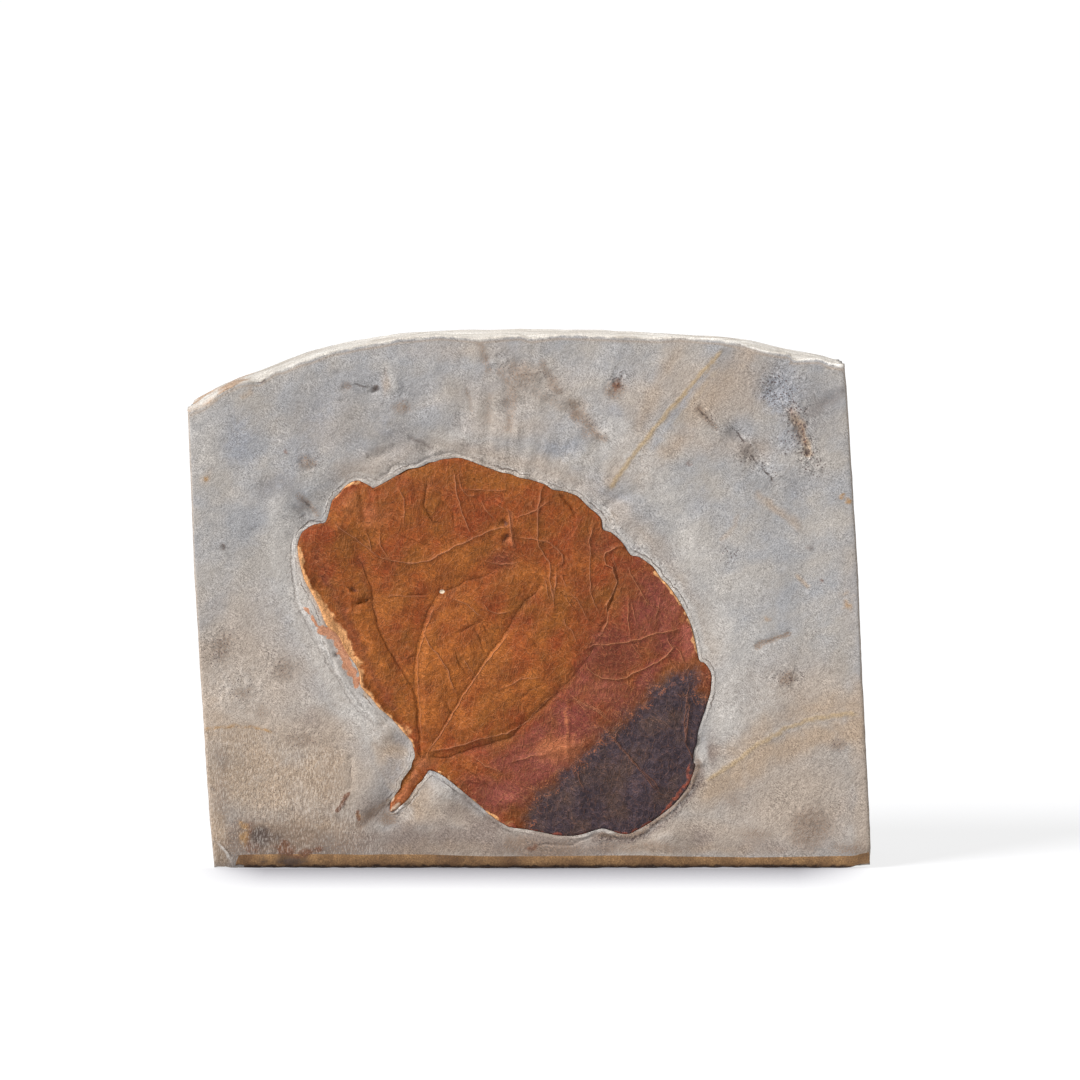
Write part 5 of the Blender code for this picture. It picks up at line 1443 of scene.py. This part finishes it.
# The dark patch: scorched brown round it, an edge that wanders by 2 mm, and flecks of the orange in it
patch = mark["patch"]
for shade, by in ((pattern["blotches"], 3.0), (pattern["mottles"], 2.4), (pattern["grains"], 2.4)):
    patch = node(tree, "Math", {0: shade, 1: by, 2: patch}, operation="MULTIPLY_ADD")
off_patch = node(tree, "MapRange", {0: patch, 1: 7.0, 2: 2.4, 3: 0.42, 4: 1.0})
blacks = {0: pattern["mottles"], 6: srgb("#302930"), 7: srgb("#43383d")}
patch_colour = node(tree, "Mix", blacks, 2, data_type="RGBA")
browner = node(tree, "MapRange", {0: pattern["hues"], 1: 0.45, 2: 1.0, 4: 0.7})
patch_colour = node(tree, "Mix", {0: browner, 6: patch_colour, 7: srgb("#4c3b34")}, 2, data_type="RGBA")
for begins, full, over, strength in ((0.0, 5.0, srgb("#5c3b2d"), 0.75), (2.4, 7.0, patch_colour, 0.97)):
    limits = {0: patch, 1: begins, 2: full, 4: strength}
    spread = node(tree, "MapRange", limits, interpolation_type="SMOOTHSTEP")
    colour = node(tree, "Mix", {0: spread, 6: colour, 7: over}, 2, data_type="RGBA")
ember = node(tree, "Math", {0: pattern["mottles"], 1: 0.6, 2: mark["ember"]}, operation="MULTIPLY_ADD")
ember = node(tree, "MapRange", {0: ember, 1: 0.75, 2: 1.25, 4: 0.75})
in_edge = node(tree, "Math", {0: patch, 1: 5.5, 2: 3.5}, operation="COMPARE")
orange = node(tree, "Math", {0: pattern["grains"], 1: pattern["mottles"]}, operation="MULTIPLY")
orange = node(tree, "MapRange", {0: orange, 1: 0.42, 2: 0.6, 4: 0.7})
orange = node(tree, "Math", {0: orange, 1: in_edge}, operation="MULTIPLY")
for share, hex_colour in ((ember, "#8e4835"), (orange, "#8f5332")):
    colour = node(tree, "Mix", {0: share, 6: colour, 7: srgb(hex_colour)}, 2, data_type="RGBA")

# The light and dark of the surface itself, which keeps the hue
tone = light_and_dark(tree, (
    (pattern["clouds"], 0.08, 1.0), (pattern["blotches"], 0.12, 1.0), (pattern["mottles"], 0.14, 1.0),
    (strokes, 0.16, 1.0), (pattern["grains"], 0.34, 1.0),
))
colour = node(tree, "VectorMath", {0: colour, "Scale": tone}, operation="SCALE")

# The lines on it: light along the net of veins, a painted highlight along the wrinkles, painted shade in the
# creases, white where it chipped
scratches = node(tree, "MapRange", {0: strokes, 1: 0.8, 2: 1.0})
white = node(tree, "MapRange", {0: mark["from_chip"], 1: 1.15, 2: 0.85})
white = node(tree, "Math", {0: mark["white"], 1: white}, operation="MAXIMUM")
wrinkle = drawn_line(tree, mark["wrinkle_side"], 0.32, 1.0)
wrinkle = node(tree, "Math", {0: wrinkle, 1: mark["wrinkle_shown"]}, operation="MULTIPLY")
crease = drawn_line(tree, mark["crease_side"], 0.42, 1.0)
crease = node(tree, "Math", {0: crease, 1: mark["crease_shown"]}, operation="MULTIPLY")
for share, hex_colour, strength in (
    (scratches, "#a56c45", 0.3), (net, "#9d6843", 0.2), (wrinkle, "#ac6f4e", 0.65), (crease, "#411f0e", 0.4),
    (white, "#cdbca4", 1.0),
):
    shown = node(tree, "Math", {0: share, 1: strength}, operation="MULTIPLY")
    shown = node(tree, "Math", {0: shown, 1: off_patch}, operation="MULTIPLY")
    colour = node(tree, "Mix", {0: shown, 6: colour, 7: srgb(hex_colour)}, 2, data_type="RGBA")
tree.links.new(colour, shader.inputs["Base Color"])

# Relief too fine for the mesh, in mm: pattern and height
fine_relief(tree, shader, (
    (strokes, 0.03), (pattern["grains"], 0.05), (pattern["mottles"], 0.14), (net, 0.08), (wrinkle, 0.3),
    (crease, -0.2),
))
shader.inputs["Roughness"].default_value = 0.6
shader.inputs["Specular IOR Level"].default_value = 0.15
shader.inputs["IOR"].default_value = 1.5
leaf = new_piece("leaf_film", leaf_vertices, leaf_faces, leaf_film, leaf_marks)
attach(leaf, "root")
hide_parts("fossil_leaf")


# The studio
# A white paper floor under a soft key from the upper left and an even white surround. The paper is rough and
# glows with painted light, so that the eye gets an even white that turns to a painted lilac shade close in
# front of the plate.
FLOOR_SIDE = 8.0
SHADE_REACH = 42.0 * MM
SHADE_FULL = 80.0 * MM
SHADE_GONE = 106.0 * MM
SHADE_UNDER = 4.0 * MM
PAPER_GLOW = 0.8
KEY_STRENGTH = 5.4
KEY_SOFTNESS = math.radians(24.0)
KEY_TURN = (math.radians(48.0), 0.0, math.radians(-62.0))
paper, tree, shader = new_finish("white paper, glowing, with painted shade")
shader.inputs["Base Color"].default_value = srgb("#747476")
shader.inputs["Roughness"].default_value = 1.0
shader.inputs["Specular IOR Level"].default_value = 0.0
# Painted shade: the glow dims and turns lilac close in front of the plate, between its ends
near = node(tree, "AmbientOcclusion", {"Distance": SHADE_REACH}, out="AO")
place = node(tree, "TexCoord", out="Object")
across = node(tree, "SeparateXYZ", {0: place}, out="X")
across = node(tree, "Math", {0: across}, operation="ABSOLUTE")
back = node(tree, "SeparateXYZ", {0: place}, out="Y")
in_front = node(tree, "MapRange", {0: back, 1: FRONT_Y + SHADE_UNDER, 2: FRONT_Y})
between = node(tree, "MapRange", {0: across, 1: SHADE_GONE, 2: SHADE_FULL})
in_front = node(tree, "Math", {0: in_front, 1: between}, operation="MULTIPLY")
near = node(tree, "Mix", {0: in_front, 2: 1.0, 3: near})
painted_shade_lilac = node(tree, "Mix", {0: near, 6: srgb("#dcd6ea"), 7: srgb("#ffffff")}, 2, data_type="RGBA")
tree.links.new(painted_shade_lilac, shader.inputs["Emission Color"])
painted_glow = node(tree, "MapRange", {0: near, 1: 0.4, 2: 1.0, 3: 0.1 * PAPER_GLOW, 4: PAPER_GLOW})
tree.links.new(painted_glow, shader.inputs["Emission Strength"])
floor_mesh = bpy.data.meshes.new("floor")
half_side = FLOOR_SIDE / 2.0
signs = ((-1.0, -1.0), (1.0, -1.0), (1.0, 1.0), (-1.0, 1.0))
floor_mesh.from_pydata([(x * half_side, y * half_side, 0.0) for x, y in signs], [], [(0, 1, 2, 3)])
floor_mesh.materials.append(paper)
floor = bpy.data.objects.new("floor", floor_mesh)
bpy.context.scene.collection.objects.link(floor)

key_data = bpy.data.lights.new("key", "SUN")
key_data.energy = KEY_STRENGTH
key_data.angle = KEY_SOFTNESS
key = bpy.data.objects.new("key", key_data)
key.rotation_euler = KEY_TURN
bpy.context.scene.collection.objects.link(key)

world = bpy.data.worlds.new("white surround, dimmer overhead")
world.use_nodes = True
tree = world.node_tree
towards = node(tree, "TexCoord", out="Generated")
rise = node(tree, "SeparateXYZ", {0: towards}, out="Z")
white = node(tree, "MapRange", {0: rise, 1: 0.14, 2: 0.24, 3: 1.02, 4: 0.4})
tree.links.new(white, tree.nodes["Background"].inputs["Strength"])
tree.nodes["Background"].inputs["Color"].default_value = srgb("#ffffff")
bpy.context.scene.world = world
bpy.context.scene.view_settings.view_transform = "Standard"
